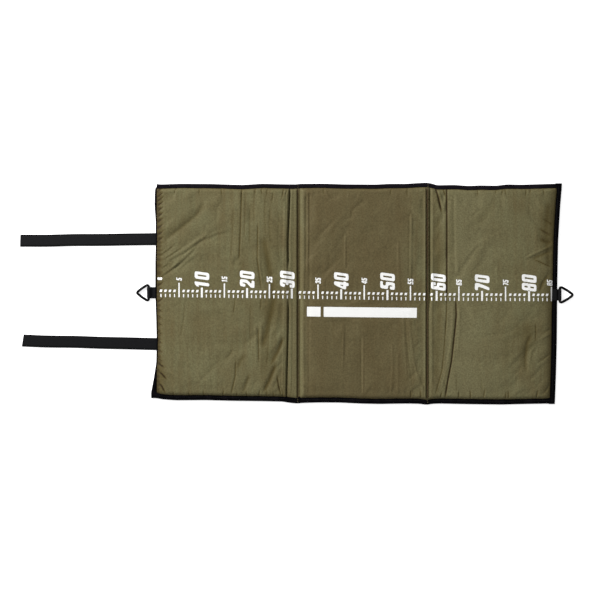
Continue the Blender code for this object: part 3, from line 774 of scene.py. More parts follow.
RIGHT_CREASES = (
    (GROOVE, 2.1, 1.6, 1.00, 434.4, 184, 438.4, 198, 441.8, 213),
    (RIDGE, 2.6, 0.9, 0.0, 437.4, 187, 441.2, 198, 444.4, 210),
    (GROOVE, 1.8, 0.7, 0.60, 442.4, 187, 445.8, 197),
    (GROOVE, 1.9, 1.3, 1.00, 446.6, 184, 446.7, 200, 446.9, 230, 446.9, 300),
    (GROOVE, 1.5, 0.7, 0.45, 446.9, 284, 446.7, 310, 445.5, 336),
    (GROOVE, 1.5, 0.6, 0.40, 446.2, 318, 444, 352, 441.9, 371, 435, 396),
    (RIDGE, 2.4, 0.6, 0.0, 444.3, 200, 444.6, 260),
    (STEP, 5.0, 1.0, 0.03, 455, 192, 455.4, 236, 456.4, 276),
    (GROOVE, 1.9, 1.4, 1.00, 455.8, 298, 456.3, 316, 454.7, 333, 451.6, 361, 447.8, 381, 445, 399),
    (RIDGE, 3.0, 0.8, 0.0, 452.6, 304, 452.8, 320, 450.6, 345, 446.6, 368, 441.4, 390),
    (RIDGE, 3.2, 0.6, 0.0, 459.6, 304, 459.4, 330, 457.4, 358),
    (RIDGE, 3.0, 0.6, 0.0, 433.2, 200, 432.2, 300, 432.2, 390),
    (GROOVE, 7.0, 0.7, 0.10, 438.8, 215, 438.4, 280, 438, 350, 436, 380),
    (GROOVE, 2.0, 0.4, 0.15, 456.2, 370, 457, 396),
    (GROOVE, 9.0, 0.7, 0.05, 496, 198, 477, 228),
    (GROOVE, 2.2, 0.9, 0.60, 542, 218.4, 549, 222.6, 555.6, 227),
    (GROOVE, 2.2, 0.9, 0.70, 538, 228, 545, 232, 553, 237),
    (GROOVE, 5.0, 1.5, 0.48, 538.6, 238.6, 546, 241.6, 554, 243),
    (RIDGE, 2.2, 1.5, 0.0, 524, 258.8, 537, 252.6, 553.6, 245),
    (GROOVE, 4.0, 1.2, 0.28, 530, 260, 542, 255, 554.6, 250.4),
    (GROOVE, 1.7, 1.0, 0.60, 532, 258.6, 541, 262.6, 553.6, 268.2),
    (GROOVE, 7.0, 0.8, 0.22, 549, 200, 546, 228, 549, 270),
    (RIDGE, 2.6, 0.6, 0.0, 534, 263.6, 546, 269),
    (GROOVE, 4.0, 1.2, 0.32, 538.6, 294, 543, 283, 550, 272),
    (RIDGE, 4.0, 0.7, 0.0, 533.6, 222, 537, 234, 534.6, 246),
    (GROOVE, 1.6, 0.8, 0.40, 535.3, 321, 535.9, 333, 535.4, 343),
    (GROOVE, 5.0, 1.4, 0.24, 532, 332, 526.6, 345, 525.4, 358, 526, 374),
    (RIDGE, 3.4, 1.0, 0.0, 536.6, 344, 531, 352, 529, 366),
    (RIDGE, 2.0, 1.0, 0.0, 538, 340, 545, 336.6, 554, 332.6),
    (GROOVE, 2.6, 0.8, 0.20, 541, 334, 547, 331, 554, 328.6),
    (GROOVE, 2.2, 0.8, 0.25, 538, 362, 545, 358, 552, 353),
    (GROOVE, 2.2, 0.7, 0.20, 542, 396, 548, 388, 552, 380),
    (GROOVE, 7.0, 0.6, 0.05, 505, 336, 509, 352, 506, 366),
    (GROOVE, 2.0, 0.5, 0.15, 475, 186, 477, 200),
    (GROOVE, 2.0, 0.5, 0.12, 508, 186, 500, 197),
    (GROOVE, 2.0, 0.4, 0.12, 481.4, 376, 482.6, 398),
)
PANEL_CREASES = LEFT_CREASES, SPINE_CREASES, MIDDLE_CREASES, RIGHT_CREASES
print([len(creases) for creases in PANEL_CREASES], "creases on the left, spine, middle and right")

# %% Puckers along the edges and the seam
LEFT_PUCKER_PIXELS = (
    192.0, 197.6, 202.0, 206.6, 212.0, 217.6, 223.0, 229.0, 236.0, 242.0, 281.0, 287.0, 303.0,
)
LOW_PUCKER_PIXELS = (308.5, 315.0, 322.0, 331.0, 340.0, 349.0, 358.0)
TOP_GATHER_PIXELS = (
    176, 200, 222, 243, 256, 262, 268, 284, 324, 392, 408, 478, 497, 503, 506, 527, 531, 544,
)
LOW_GATHER_PIXELS = (
    172, 188, 203, 222, 236, 246, 258, 266, 273, 282, 410, 420, 440, 458, 470, 483, 505, 508, 536,
)
SEAM_PUCKER_PIXELS = np.arange(200.0, 268.0, 3.1)
left_puckers = [
    (GROOVE, 1.8, 0.9, 0.90, 154.0, py + 1.6, 158.6, py - 1.4, 164.6, py - 6.4) for py in LEFT_PUCKER_PIXELS
]
low_puckers = [
    (GROOVE, 1.6, 0.8, 0.85, 154.0, py - 1.6, 158.6, py + 1.0, 163.6, py + 4.4) for py in LOW_PUCKER_PIXELS
]
top_gathers = [
    (GROOVE, 1.5, 0.7, 0.42, px + 0.8, 186.5, px - 0.8, 189.5, px - 1.6 + n % 3, 195.0 + n % 4)
    for n, px in enumerate(TOP_GATHER_PIXELS)
]
low_gathers = [
    (GROOVE, 1.6, 0.8, 0.45, px, 400.0, px + 0.8, 396.0, px + 2.0 - n % 3, 391.0 - n % 4)
    for n, px in enumerate(LOW_GATHER_PIXELS)
]
seam_puckers = [
    (GROOVE, 1.1, 0.4, 0.55, 425.2 + n % 2, py + 1.6, 430.4 - n % 3, py - 1.6)
    for n, py in enumerate(SEAM_PUCKER_PIXELS)
]
CREASES = [*LEFT_CREASES, *left_puckers, *low_puckers, *top_gathers, *low_gathers, *seam_puckers]
CREASES += [*SPINE_CREASES, *MIDDLE_CREASES, *RIGHT_CREASES]
print(len(CREASES), "creases in all")

# %% Folds from the creases
END_FADE = 14 * MM
HEIGHT_GAIN, DARK_GAIN = 1.25, 1.25
STEP_GAIN = 1.6
DARK_NARROWING = 1.3
WIDTHS_AROUND = 4


def line_distance(x, y, points):
    """Signed distance to a line through the points, and how near its ends the nearest one is."""
    lengths = np.linalg.norm(np.diff(points, axis=0), axis=1)
    starts = np.concatenate([[0], np.cumsum(lengths)])
    best = np.full(x.shape, np.inf)
    signed, along = np.zeros(x.shape), np.zeros(x.shape)
    for n, length in enumerate(lengths):
        way = (points[n + 1] - points[n]) / length
        dx, dy = x - points[n][0], y - points[n][1]
        run = np.clip(dx * way[0] + dy * way[1], 0, length)
        off = np.hypot(dx - run * way[0], dy - run * way[1])
        near = off < best
        best = np.where(near, off, best)
        side = np.sign(dx * way[1] - dy * way[0])
        signed = np.where(near, off * side, signed)
        along = np.where(near, (starts[n] + run) / starts[-1], along)
    fade = min(END_FADE, starts[-1] / 3)
    return signed, np.clip(along * starts[-1] / fade, 0, 1) * np.clip((1 - along) * starts[-1] / fade, 0, 1)


def folds(x, y):
    """The height that all creases add at a place, and how much painted shade they put on the cloth there."""
    height, dark = np.zeros(x.shape), np.zeros(x.shape)
    for kind, width, high, darkness, *places in CREASES:
        reach = place_x(places[::2])
        around = WIDTHS_AROUND * width * MM
        near = (x > reach.min() - around) & (x < reach.max() + around)
        if not near.any():
            continue
        signed, fade = line_distance(x[near], y[near], np.stack([reach, place_y(places[1::2])], 1))
        off = signed / (width * MM)
        round_off = np.exp(-(off**2))
        shape = {GROOVE: -round_off, RIDGE: round_off, STEP: -STEP_GAIN * off * round_off}[kind]
        height[near] += HEIGHT_GAIN * high * MM * shape * fade
        shade = DARK_GAIN * darkness * np.exp(-((off * DARK_NARROWING) ** 2)) * fade
        dark[near] = np.maximum(dark[near], shade)
    return height, dark


height, dark = folds(place_x(np.array([447.0])), place_y(np.array([250.0])))
print("the deepest crease is", round(float(-height[0]) / MM, 1), "mm deep")

# %% [markdown]
# One height function now gives the whole upper side. Fine unevenness comes from sums of sine waves, which
# need no random numbers. Creases die out where the cloth is sewn down, and the groove and the sewn channels
# get painted shade in the cloth's colour.

# %% Unevenness
# Slow waves: turns per metre along x and y, and height in mm.
WAVES = (
    (31.0, 12.0, 0.25), (17.0, -23.0, 0.20), (52.0, 9.0, 0.12), (-71.0, 38.0, 0.08), (113.0, 26.0, 0.05),
)
# Fine upright lines in the cloth: waves per metre along x, how far they wind, and height in mm.
STREAKS = ((263.0, 2.1, 0.050), (389.0, 1.4, 0.035), (531.0, 2.7, 0.028), (743.0, 1.9, 0.016))
# The wide printed field stiffens the cloth under it. Its corners are in photo pixels.
FIELD_PIXELS = (306.0, 418.0, 305.5, 319.0)
FIELD_FADE = 2.5
FIELD_STIFFNESS = 0.8
LINE_SWING = 0.4


def swinging(swing, wave):
    """A share that swings along a wave, and is 1 where the wave is highest."""
    return 1 - swing + swing * wave


def to_pixels(x, y):
    return ORIGIN_PIXEL[0] + x * PIXELS_PER_METRE, ORIGIN_PIXEL[1] - y * PIXELS_PER_METRE


def under_field(x, y):
    """1 where the cloth carries the wide printed field, falling to 0 just outside it."""
    left, right, upper, lower = FIELD_PIXELS
    px, py = to_pixels(x, y)
    inside = np.minimum.reduce([px - left, right - px, py - upper, lower - py])
    return np.clip(1 + inside / FIELD_FADE, 0, 1)


def rolling(x, y):
    """Slow waves and fine lines of the cloth over its foam, in metres."""
    slow = sum(high * np.sin(a * x + b * y + n) for n, (a, b, high) in enumerate(WAVES))
    fine = 0
    for n, (a, wind, high) in enumerate(STREAKS):
        wound = a * x + wind * np.sin(19 * y + 7 * n + 11 * x)
        fine = fine + high * np.sin(wound) * swinging(LINE_SWING, np.sin(23 * y + 31 * x + 2 * n))
    return MM * (slow + fine)


wrinkles = []


def simulated(x, y):
    """What the cloth simulation further down adds to the height. Nothing, until it has run."""
    added = np.zeros(x.shape)
    for xs, ys, heights in wrinkles:
        column = np.clip((x - xs[0]) / (xs[1] - xs[0]), 0, len(xs) - 1.001)
        row = np.clip((y - ys[0]) / (ys[1] - ys[0]), 0, len(ys) - 1.001)
        c, r = column.astype(int), row.astype(int)
        u, v = column - c, row - r
        low = heights[r, c] * (1 - u) + heights[r, c + 1] * u
        high = heights[r + 1, c] * (1 - u) + heights[r + 1, c + 1] * u
        inside = (x > xs[0]) & (x < xs[-1]) & (y > ys[0]) & (y < ys[-1])
        added += inside * (low * (1 - v) + high * v)
    return added


print(len(WAVES), "slow waves and", len(STREAKS), "rows of fine lines")

# %% Painted shade and darker nap
# Painted shade in the groove and the two sewn channels.
CHANNEL_DARK, RIGHT_CHANNEL_DARK = 0.22, 0.02
CHANNEL_LEAN, CHANNEL_NARROWING = 1.1 * MM, 0.2
GROOVE_DARK, GROOVE_DARK_HALF = 0.42, 2.4 * GROOVE_HALF
# Painted shade along the gathered left edge, the right end and the long sides under the binding.
LEFT_LIP, LEFT_LIP_DARK, LOW_LIP_NARROWING = 12.0 * MM, 0.66, 0.4
SHADE, SHADE_DARK = 26 * MM, 0.20
SIDE_LIP, SIDE_LIP_DARK = 1.8 * MM, 0.34
RIGHT_LIP, RIGHT_LIP_DARK = 6.0 * MM, 0.60
LEFT_SWING, SIDE_SWING, CHANNEL_SWING = 0.16, 0.3, 0.2
# Broad soft patches that darken the cloth, partly painted shade of folds and edges and partly darker nap:
# centre and half sizes in photo pixels, the turn of the long side in degrees, and how dark.
NAP_AND_SHADE_PATCHES = (
    (159.5, 378.0, 4.0, 26.0, 0, 0.34), (163.0, 256.0, 10.0, 30.0, 0, 0.08),
    (186.0, 222.0, 26.0, 6.0, 38, 0.10), (240.0, 262.0, 5.0, 36.0, 0, 0.10),
    (270.0, 262.0, 9.0, 30.0, 0, 0.12), (270.0, 345.0, 8.0, 30.0, -14, 0.10),
    (439.0, 250.0, 7.0, 62.0, 0, 0.16), (439.0, 340.0, 6.0, 40.0, 3, 0.08),
    (451.5, 236.0, 4.5, 52.0, 0, 0.10), (547.0, 232.0, 9.0, 34.0, 0, 0.22),
    (544.0, 290.0, 8.0, 16.0, 0, 0.14), (527.0, 347.0, 7.0, 20.0, -12, 0.22),
    (482.0, 215.0, 24.0, 7.0, 50, 0.06), (224.0, 356.0, 22.0, 6.0, 40, 0.05),
    (271.0, 311.0, 11.0, 13.0, 0, 0.22), (266.0, 352.0, 5.0, 34.0, 0, 0.08),
    (523.0, 330.0, 11.0, 8.0, 25, 0.18), (508.0, 352.0, 8.0, 18.0, 0, 0.06),
)


def stains(x, y):
    """How much the darker nap and the painted shade of the patches darken the cloth at a place."""
    px, py = to_pixels(x, y)
    clean = np.ones(x.shape)
    for centre_x, centre_y, wide, tall, turn, strength in NAP_AND_SHADE_PATCHES:
        along, up = px - centre_x, centre_y - py
        c, s = math.cos(math.radians(turn)), math.sin(math.radians(turn))
        off = ((along * c + up * s) / wide) ** 2 + ((up * c - along * s) / tall) ** 2
        clean *= 1 - strength * np.exp(-(off**1.5))
    return 1 - clean


def lips(x, y, flat_x, flat_y):
    """Painted shade along the padding's edges: the gathered left one, the right one and the long sides."""
    gathered = swinging(LEFT_SWING, np.sin(570 * y + 3 * np.sin(61 * y)))
    from_left = np.clip(flat_x - LEFT_PAD_START, 0, None)
    lip_width = LEFT_LIP * gathered * (1 - LOW_LIP_NARROWING * low_half(y))
    left = LEFT_LIP_DARK * np.exp(-((from_left / lip_width) ** 4)) * gathered
    left = left + SHADE_DARK * np.exp(-from_left / SHADE)
    right = RIGHT_LIP_DARK * np.exp(-np.clip(right_end(y) - flat_x, 0, None) / RIGHT_LIP)
    side = SIDE_LIP_DARK * np.exp(-np.clip(inward(flat_y), 0, None) / SIDE_LIP)
    return left, right, side * swinging(SIDE_SWING, np.sin(480 * x))


def channels(x, y):
    """Painted shade in the groove and in the two sewn channels."""
    groove = GROOVE_DARK * np.exp(-(((x - groove_x(y)) / GROOVE_DARK_HALF) ** 2)) * (1 - groove_closed(y))
    uneven = swinging(CHANNEL_SWING, np.sin(900 * y + 2 * np.sin(410 * y + 800 * x)) * np.sin(260 * y))
    in_left = (x > LEFT_SEAM - SPINE_MARGIN) & (x < LEFT_SEAM + LEFT_CHANNEL_HALF)
    middle = (RIGHT_SEAM_START + RIGHT_SEAM_END) / 2 - CHANNEL_LEAN * low_half(y)
    half = (RIGHT_SEAM_END - RIGHT_SEAM_START) / 2 * (1 - CHANNEL_NARROWING * low_half(y))
    in_right = abs(x - middle) < half
    return groove, CHANNEL_DARK * uneven * in_left, RIGHT_CHANNEL_DARK * uneven * in_right


print(len(NAP_AND_SHADE_PATCHES), "darker patches")

# %% Upper side
# Two panels lie face to face when the mat is folded, so no fold may stand higher than this.
EASED_FROM, MOST_HIGH = 14.2 * MM, 15.15 * MM


def upper_side(flat_x, flat_y):
    """Real place, height, and painted shade with darker nap, of the cover over points of the true rectangle.
    """
    x, y = wander(flat_x, flat_y, cover=True)
    base = pad_height(flat_x, flat_y)
    padded = np.clip((base - MARGIN_HIGH) / (SPINE_HIGH - MARGIN_HIGH), 0, 1)
    crease_high, dark = folds(x, y)
    supple = 1 - FIELD_STIFFNESS * under_field(x, y)
    z = base + supple * (padded * (crease_high + rolling(x, y)) + simulated(flat_x, flat_y))
    above = np.clip(z - EASED_FROM, 0, None) / (MOST_HIGH - EASED_FROM)
    z = np.where(above > 0, EASED_FROM + (MOST_HIGH - EASED_FROM) * np.tanh(above), z)
    darkest = np.maximum.reduce([dark, *channels(x, y), *lips(x, y, flat_x, flat_y)])
    return x, y, z, darkest + (1 - darkest) * stains(x, y)


def surface_height(x, y):
    """The cover's height at real places, near enough for what is printed on it."""
    moved_x, moved_y = wander(x, y, cover=True)
    flat_x, flat_y = 2 * x - moved_x, 2 * y - moved_y
    return upper_side(flat_x, flat_y)[2]


print("no fold stands over", MOST_HIGH / MM, "mm")

# %% [markdown]
# A grid of points becomes a mesh with one call. Each piece also takes its finish, the body it rides on and
# the solids it stands for, so those three go in one place.

# %% Pieces from grids


def grid_mesh(name, x, y, z, **values):
    """A mesh through rows of points, with a value on each point for every named array."""
    rows, columns = x.shape
    points = np.stack([x, y, z], -1).reshape(-1, 3)
    first = (np.arange(rows - 1)[:, None] * columns + np.arange(columns - 1)).reshape(-1)
    quads = np.stack([first, first + 1, first + columns + 1, first + columns], 1)
    mesh = bpy.data.meshes.new(name)
    mesh.from_pydata(points.tolist(), [], quads.tolist())
    for word, array in values.items():
        layer = mesh.attributes.new(word, "FLOAT", "POINT")
        layer.data.foreach_set("value", np.broadcast_to(array, x.shape).reshape(-1).astype(np.float32))
    mesh.shade_smooth()
    return mesh


def dressed(name, mesh, finish, body, replaces=()):
    """The mesh as a piece of the mat, riding on body. For a bend, body holds two bodies with the start and
    end of the bend, which are not used: the piece stays where it is.
    """
    obj = placed(name, mesh)
    mesh.materials.append(finish.material)
    if isinstance(body, str):
        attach(obj, body)
    else:
        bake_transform(obj)
    if replaces:
        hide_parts(*replaces)
    return obj


def solid_named(node):
    """The solid that a piece stands for, where the model has one of that name."""
    return (node,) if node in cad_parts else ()


def lines(start, end, pitch):
    return np.linspace(start, end, max(2, round(abs(end - start) / pitch) + 1))


def mesh_of(form, name):
    """A finished bmesh as a smooth mesh."""
    mesh = bpy.data.meshes.new(name)
    form.to_mesh(mesh)
    form.free()
    mesh.shade_smooth()
    return mesh


def welded(mesh, distance):
    """The same mesh with points that lie together joined, and its faces turned outward."""
    form = bmesh.new()
    form.from_mesh(mesh)
    bmesh.ops.remove_doubles(form, verts=form.verts[:], dist=distance)
    bmesh.ops.recalc_face_normals(form, faces=form.faces[:])
    form.to_mesh(mesh)
    form.free()
    mesh.shade_smooth()
    return mesh


print("the model has", len(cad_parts), "solids to cover")

# %% [markdown]
# A cover is a little larger than the foam under it, which is what puckers it along its seams. That is left
# to the cloth simulation: a coarse copy of each cover is held all round, given spare cloth, and pushed up
# from below. Its broad swelling is taken away again, as the padding has its height already, and what is
# left is the puckering, which the height function then adds.

# %% Puckers by simulation
SIM_PITCH = 3.5 * MM
SIM_FRAMES = 20
SPARE_CLOTH = 0.03
PRESSURE = 4.0
STIFFNESS = 0.05
SIM_QUALITY = 6
BROAD_CELLS = 9
MOST_PUCKER = 1.2 * MM
PUCKER_SHARE = 0.55


def box_blur(field, cells):
    """The mean over a square of cells around each point, with the edge repeated outward."""
    for axis in (0, 1):
        pad = [(0, 0), (0, 0)]
        pad[axis] = (cells + 1, cells)
        total = np.cumsum(np.pad(field, pad, mode="edge"), axis=axis)
        ahead = np.take(total, range(2 * cells + 1, total.shape[axis]), axis)
        behind = np.take(total, range(0, total.shape[axis] - 2 * cells - 1), axis)
        field = (ahead - behind) / (2 * cells + 1)
    return field


def pucker(start, end):
    """Heights of the puckers over one panel, on a grid of its own."""
    xs, ys = lines(start, end, SIM_PITCH), lines(-PAD_EDGE_Y, PAD_EDGE_Y, SIM_PITCH)
    x, y, z, _ = upper_side(*np.meshgrid(xs, ys))
    mesh = grid_mesh("trial_cloth", x, y, z)
    obj = placed("trial_cloth", mesh)
    held = np.ones(x.shape, bool)
    held[1:-1, 1:-1] = False
    obj.vertex_groups.new(name="sewn").add(np.flatnonzero(held).tolist(), 1.0, "REPLACE")
    cloth = obj.modifiers.new("cloth", "CLOTH")
    cloth.settings.vertex_group_mass = "sewn"
    cloth.settings.shrink_min = -SPARE_CLOTH
    cloth.settings.use_pressure = True
    cloth.settings.uniform_pressure_force = PRESSURE
    cloth.settings.bending_stiffness = STIFFNESS
    cloth.settings.quality = SIM_QUALITY
    cloth.settings.effector_weights.gravity = 0
    cloth.collision_settings.use_collision = False
    cloth.point_cache.frame_end = SIM_FRAMES
    for frame_number in range(1, SIM_FRAMES + 1):
        bpy.context.scene.frame_set(frame_number)
    shape = obj.evaluated_get(bpy.context.evaluated_depsgraph_get()).data
    points = np.empty(3 * len(shape.vertices))
    shape.vertices.foreach_get("co", points)
    lifted = points.reshape(*x.shape, 3)[..., 2] - z
    bpy.data.objects.remove(obj)
    bpy.data.meshes.remove(mesh)
    bpy.context.scene.frame_set(1)
    fine = lifted - box_blur(lifted, BROAD_CELLS)
    fine = MOST_PUCKER * np.tanh(PUCKER_SHARE * fine / MOST_PUCKER)
    far_x, far_y = np.minimum(xs - xs[0], xs[-1] - xs), np.minimum(ys - ys[0], ys[-1] - ys)
    edge = np.minimum(far_x[None, :], far_y[:, None])
    return xs, ys, fine * np.clip(edge / (2 * SIM_PITCH), 0, 1)


PANELS = (
    ("left", LEFT_PAD_START, CREASE_LINE - 2 * GROOVE_HALF),
    ("middle", *MIDDLE_PAD),
    ("right", RIGHT_SEAM_END + RIGHT_MARGIN, REACH[1] - BINDING_WIDTH),
)
found = [pucker(start, end) for _, start, end in PANELS]
for (name, _, _), (_, _, heights) in zip(PANELS, found):
    print(name, "puckers from", round(heights.min() / MM, 2), "to", round(heights.max() / MM, 2), "mm")
wrinkles += found

# %% [markdown]
# The cover is one stretch of cloth, cut here into a piece for each stiff body and a short piece over each
# fold line. All of them read the same height function, so that they meet without a step when the mat is open.

# %% Stretches of the mat
LEFT_BEND, RIGHT_BEND = 0.0035, 0.0024
CLOTH_INSET = 0.003


def bend(name, place, half, first, second):
    """A short stretch over a fold line, between two bodies."""
    return name, place - half, place + half, (first, second)


# Each stretch: name, start, end, and its body or the two bodies of a bend.
STRETCHES = (
    ("left", REACH[0] + CLOTH_INSET, CREASE_LINE - LEFT_BEND, "left"),
    bend("crease_bend", CREASE_LINE, LEFT_BEND, "left", "spine"),
    ("spine", CREASE_LINE + LEFT_BEND, LEFT_SEAM - LEFT_BEND, "spine"),
    bend("left_seam_bend", LEFT_SEAM, LEFT_BEND, "spine", "middle"),
    ("middle", LEFT_SEAM + LEFT_BEND, RIGHT_SEAM_START - RIGHT_BEND, "middle"),
    bend("inner_seam_bend", RIGHT_SEAM_START, RIGHT_BEND, "middle", "right_fold_strip"),
    ("right_fold", RIGHT_SEAM_START + RIGHT_BEND, RIGHT_SEAM_END - RIGHT_BEND, "right_fold_strip"),
    bend("outer_seam_bend", RIGHT_SEAM_END, RIGHT_BEND, "right_fold_strip", "right"),
    ("right", RIGHT_SEAM_END + RIGHT_BEND, REACH[1] - CLOTH_INSET, "right"),
)
LEFT_SEAM_STRETCH = STRETCHES[3]
STRIDE_X, STRIDE_Y, BEND_STRIDE = 1.2 * MM, 2.2 * MM, 0.5 * MM
NARROW = 0.03
CLOTH_EDGE_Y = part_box("middle_top_cover")[1].y


def riding(stretch):
    """The body argument of dressed for this stretch."""
    _, start, end, body = stretch
    return body if isinstance(body, str) else (*body, (start, 0, 0), (end, 0, 0))


ys = lines(-CLOTH_EDGE_Y, CLOTH_EDGE_Y, STRIDE_Y)
for stretch in STRETCHES:
    name, start, end, _ = stretch
    xs = lines(start, end, BEND_STRIDE if end - start < NARROW else STRIDE_X)
    x, y, z, dark = upper_side(*np.meshgrid(xs, ys))
    mesh = grid_mesh(f"{name}_cover", x, y, z, crease=dark)
    stands_for = solid_named(f"{name}_top_cover")
    dressed(f"{name}_cover", mesh, face, riding(stretch), stands_for)
    print(name, "cover has", len(mesh.polygons), "faces")

# %% [markdown]
# The underside is one coated cloth, pressed flat by the mat's weight and turned up a little under the
# binding. The foam inside never shows on a whole mat, but someone may open a panel up, so it is made as a
# slab with soft edges.

# %% Underside
BASE_EDGE_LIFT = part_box("right_fold_base_cover")[0].z
BASE_STRIDE = 5 * MM
UNDER_CLEAR = 0.35 * MM
FOAM_LOW, FOAM_UNDER_COVER = 2.2 * MM, 1.6 * MM
FOAM_EASED = 1 * MM
FOAM_PITCH = 5 * MM
TURN_UP = 2 * MM


def under_side(flat_x, flat_y):
    x, y = wander(flat_x, flat_y)
    at_edge = np.clip((abs(flat_y) - PAD_EDGE_Y) / TURN_UP, 0, 1)
    at_end = np.clip((REACH[0] + LEFT_BINDING - flat_x) / TURN_UP, 0, 1)
    at_end = np.maximum(at_end, np.clip((flat_x - REACH[1] + BINDING_WIDTH) / TURN_UP, 0, 1))
    in_channel = np.clip((MARGIN_HIGH + 1 * MM - pad_height(flat_x, np.zeros_like(flat_y))) / MM, 0, 1)
    lift = BASE_EDGE_LIFT * np.maximum.reduce([at_edge, at_end, in_channel])
    return x, y, UNDER_CLEAR + lift + 0.15 * MM * (1 - np.cos(90 * x + 40 * y)) / 2


for stretch in STRETCHES:
    name, start, end, _ = stretch
    xs = lines(start, end, BEND_STRIDE if end - start < NARROW else BASE_STRIDE)
    edge_rows = np.array([-CLOTH_EDGE_Y, -PAD_EDGE_Y - TURN_UP, -PAD_EDGE_Y])
    ys = np.concatenate([edge_rows, lines(-PAD_EDGE_Y, PAD_EDGE_Y, BASE_STRIDE)[1:-1], -edge_rows[::-1]])
    x, y, z = under_side(*np.meshgrid(xs, ys[::-1]))
    mesh = grid_mesh(f"{name}_base", x, y, z)
    dressed(f"{name}_base", mesh, under, riding(stretch), solid_named(f"{name}_base_cover"))
print("underside lies", UNDER_CLEAR / MM, "mm over the floor")

# %% Foam


def foam_slab(name):
    """A closed slab under the cover, a little clear of both cloths, with its corners eased."""
    low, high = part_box(f"{name}_foam")
    xs = lines(low.x + FOAM_EASED, high.x - FOAM_EASED, FOAM_PITCH)
    ys = lines(low.y + FOAM_EASED, high.y - FOAM_EASED, FOAM_PITCH)
    flat_x, flat_y = np.meshgrid(xs, ys)
    x, y, z, _ = upper_side(flat_x, flat_y)
    top = np.maximum(z - FOAM_UNDER_COVER - FOAM_EASED, FOAM_LOW + FOAM_EASED)
    form = bmesh.new()
    bottom, upper = (
        [[form.verts.new(spot) for spot in zip(*row)] for row in zip(x, y, heights)]
        for heights in (np.full_like(z, FOAM_LOW), top)
    )
    last_row, last_column = x.shape[0] - 1, x.shape[1] - 1
    for r in range(last_row):
        for c in range(last_column):
            form.faces.new([upper[r][c], upper[r][c + 1], upper[r + 1][c + 1], upper[r + 1][c]])
            form.faces.new([bottom[r][c], bottom[r + 1][c], bottom[r + 1][c + 1], bottom[r][c + 1]])
    ring = [(0, c) for c in range(last_column)] + [(r, last_column) for r in range(last_row)]
    ring += [(last_row, c) for c in range(last_column, 0, -1)] + [(r, 0) for r in range(last_row, 0, -1)]
    for n, (r, c) in enumerate(ring):
        nr, nc = ring[(n + 1) % len(ring)]
        form.faces.new([bottom[r][c], bottom[nr][nc], upper[nr][nc], upper[r][c]])
    mesh = mesh_of(form, f"{name}_foam_slab")
    dressed(f"{name}_foam_slab", mesh, foam, name, (f"{name}_foam",))
    print(name, "foam has", len(mesh.polygons), "faces")


for name in ("left", "spine", "middle", "right"):
    foam_slab(name)

# %% [markdown]
# The binding is a tape folded over the edge of all layers. Its section is a flat upper leg, a round turn
# and a flat lower leg. It is swept along the wandering edge, with a little unevenness in its width, and cut
# at the same places as the cover.

# %% Binding
BINDING_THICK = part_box("middle_upper_binding")[1].z
# The tape's section: how far in from the edge, and how high, as shares of its width and thickness.
SECTION_SHARES = (
    (0.97, 0.80), (1.0, 0.86), (1.0, 0.95), (0.93, 1.0), (0.75, 1.05), (0.5, 1.08),
    (0.28, 1.05), (0.12, 0.93), (0.03, 0.72), (0.0, 0.5), (0.03, 0.28), (0.12, 0.09),
    (0.28, 0.0), (0.5, 0.0), (0.8, 0.0), (1.0, 0.0), (1.0, 0.13),
)
TAPE_STRIDE = 3 * MM
TAPE_WAVES = ((61.0, 0.030), (149.0, 0.024), (283.0, 0.018))
TAPE_RIPPLE, SIDE_RIPPLES, END_RIPPLES = 0.2 * MM, 190, 170


def tape_width(run, leg):
    return leg * (1 + sum(share * np.sin(turns * run + n) for n, (turns, share) in enumerate(TAPE_WAVES)))


def tape_grid(runs):
    """How far along, how far in and how high each point of the tape is."""
    inward, high = np.array(SECTION_SHARES).T
    run, inward = np.meshgrid(runs, inward, indexing="ij")
    return run, inward, high


def tape_piece(name, x, y, high, ripple, turned, body, replaces):
    """The tape over a grid of places, a little uneven in height."""
    z = np.broadcast_to(high * BINDING_THICK, x.shape) + TAPE_RIPPLE * ripple * np.minimum(high, 1)
    order = slice(None, None, -1) if turned else slice(None)
    mesh = grid_mesh(name, x[order], y[order], np.maximum(z, 0)[order])
    return dressed(name, mesh, tape, body, replaces)


def side_tape(name, start, end, side, body, replaces):
    """Binding on a stretch of the upper or lower edge."""
    run, inward, high = tape_grid(lines(start, end, BEND_STRIDE if end - start < NARROW else TAPE_STRIDE))
    edge_x, edge_y = wander(run, np.full_like(run, side * HALF_WIDTH))
    width = tape_width(run + side, BINDING_WIDTH + LOW_EXTRA * (side < 0))
    y = edge_y - side * inward * width
    return tape_piece(name, edge_x, y, high, np.sin(SIDE_RIPPLES * run), side > 0, body, replaces)


def end_tape(word, edge, inward_sign, leg, reach, widen=0):
    """Binding along the left or right end, from one y to the other."""
    run, inward, high = tape_grid(lines(*reach, TAPE_STRIDE))
    edge_x, edge_y = wander(np.full_like(run, edge), run)
    width = tape_width(run, leg) + (widen(run) if widen else 0)
    x = edge_x + inward_sign * inward * width
    ripple, node = np.sin(END_RIPPLES * run), f"{word}_end_binding"
    return tape_piece(f"{word}_end_tape", x, edge_y, high, ripple, inward_sign > 0, word, (node,))


def corner_gap(run):
    """How much wider the left tape is where the corner is pulled out from under the cover."""
    drift = left_drift(run)
    return np.maximum(drift, LEFT_COVER_PULL) - drift


print("binding thickness", round(BINDING_THICK / MM, 1), "mm")

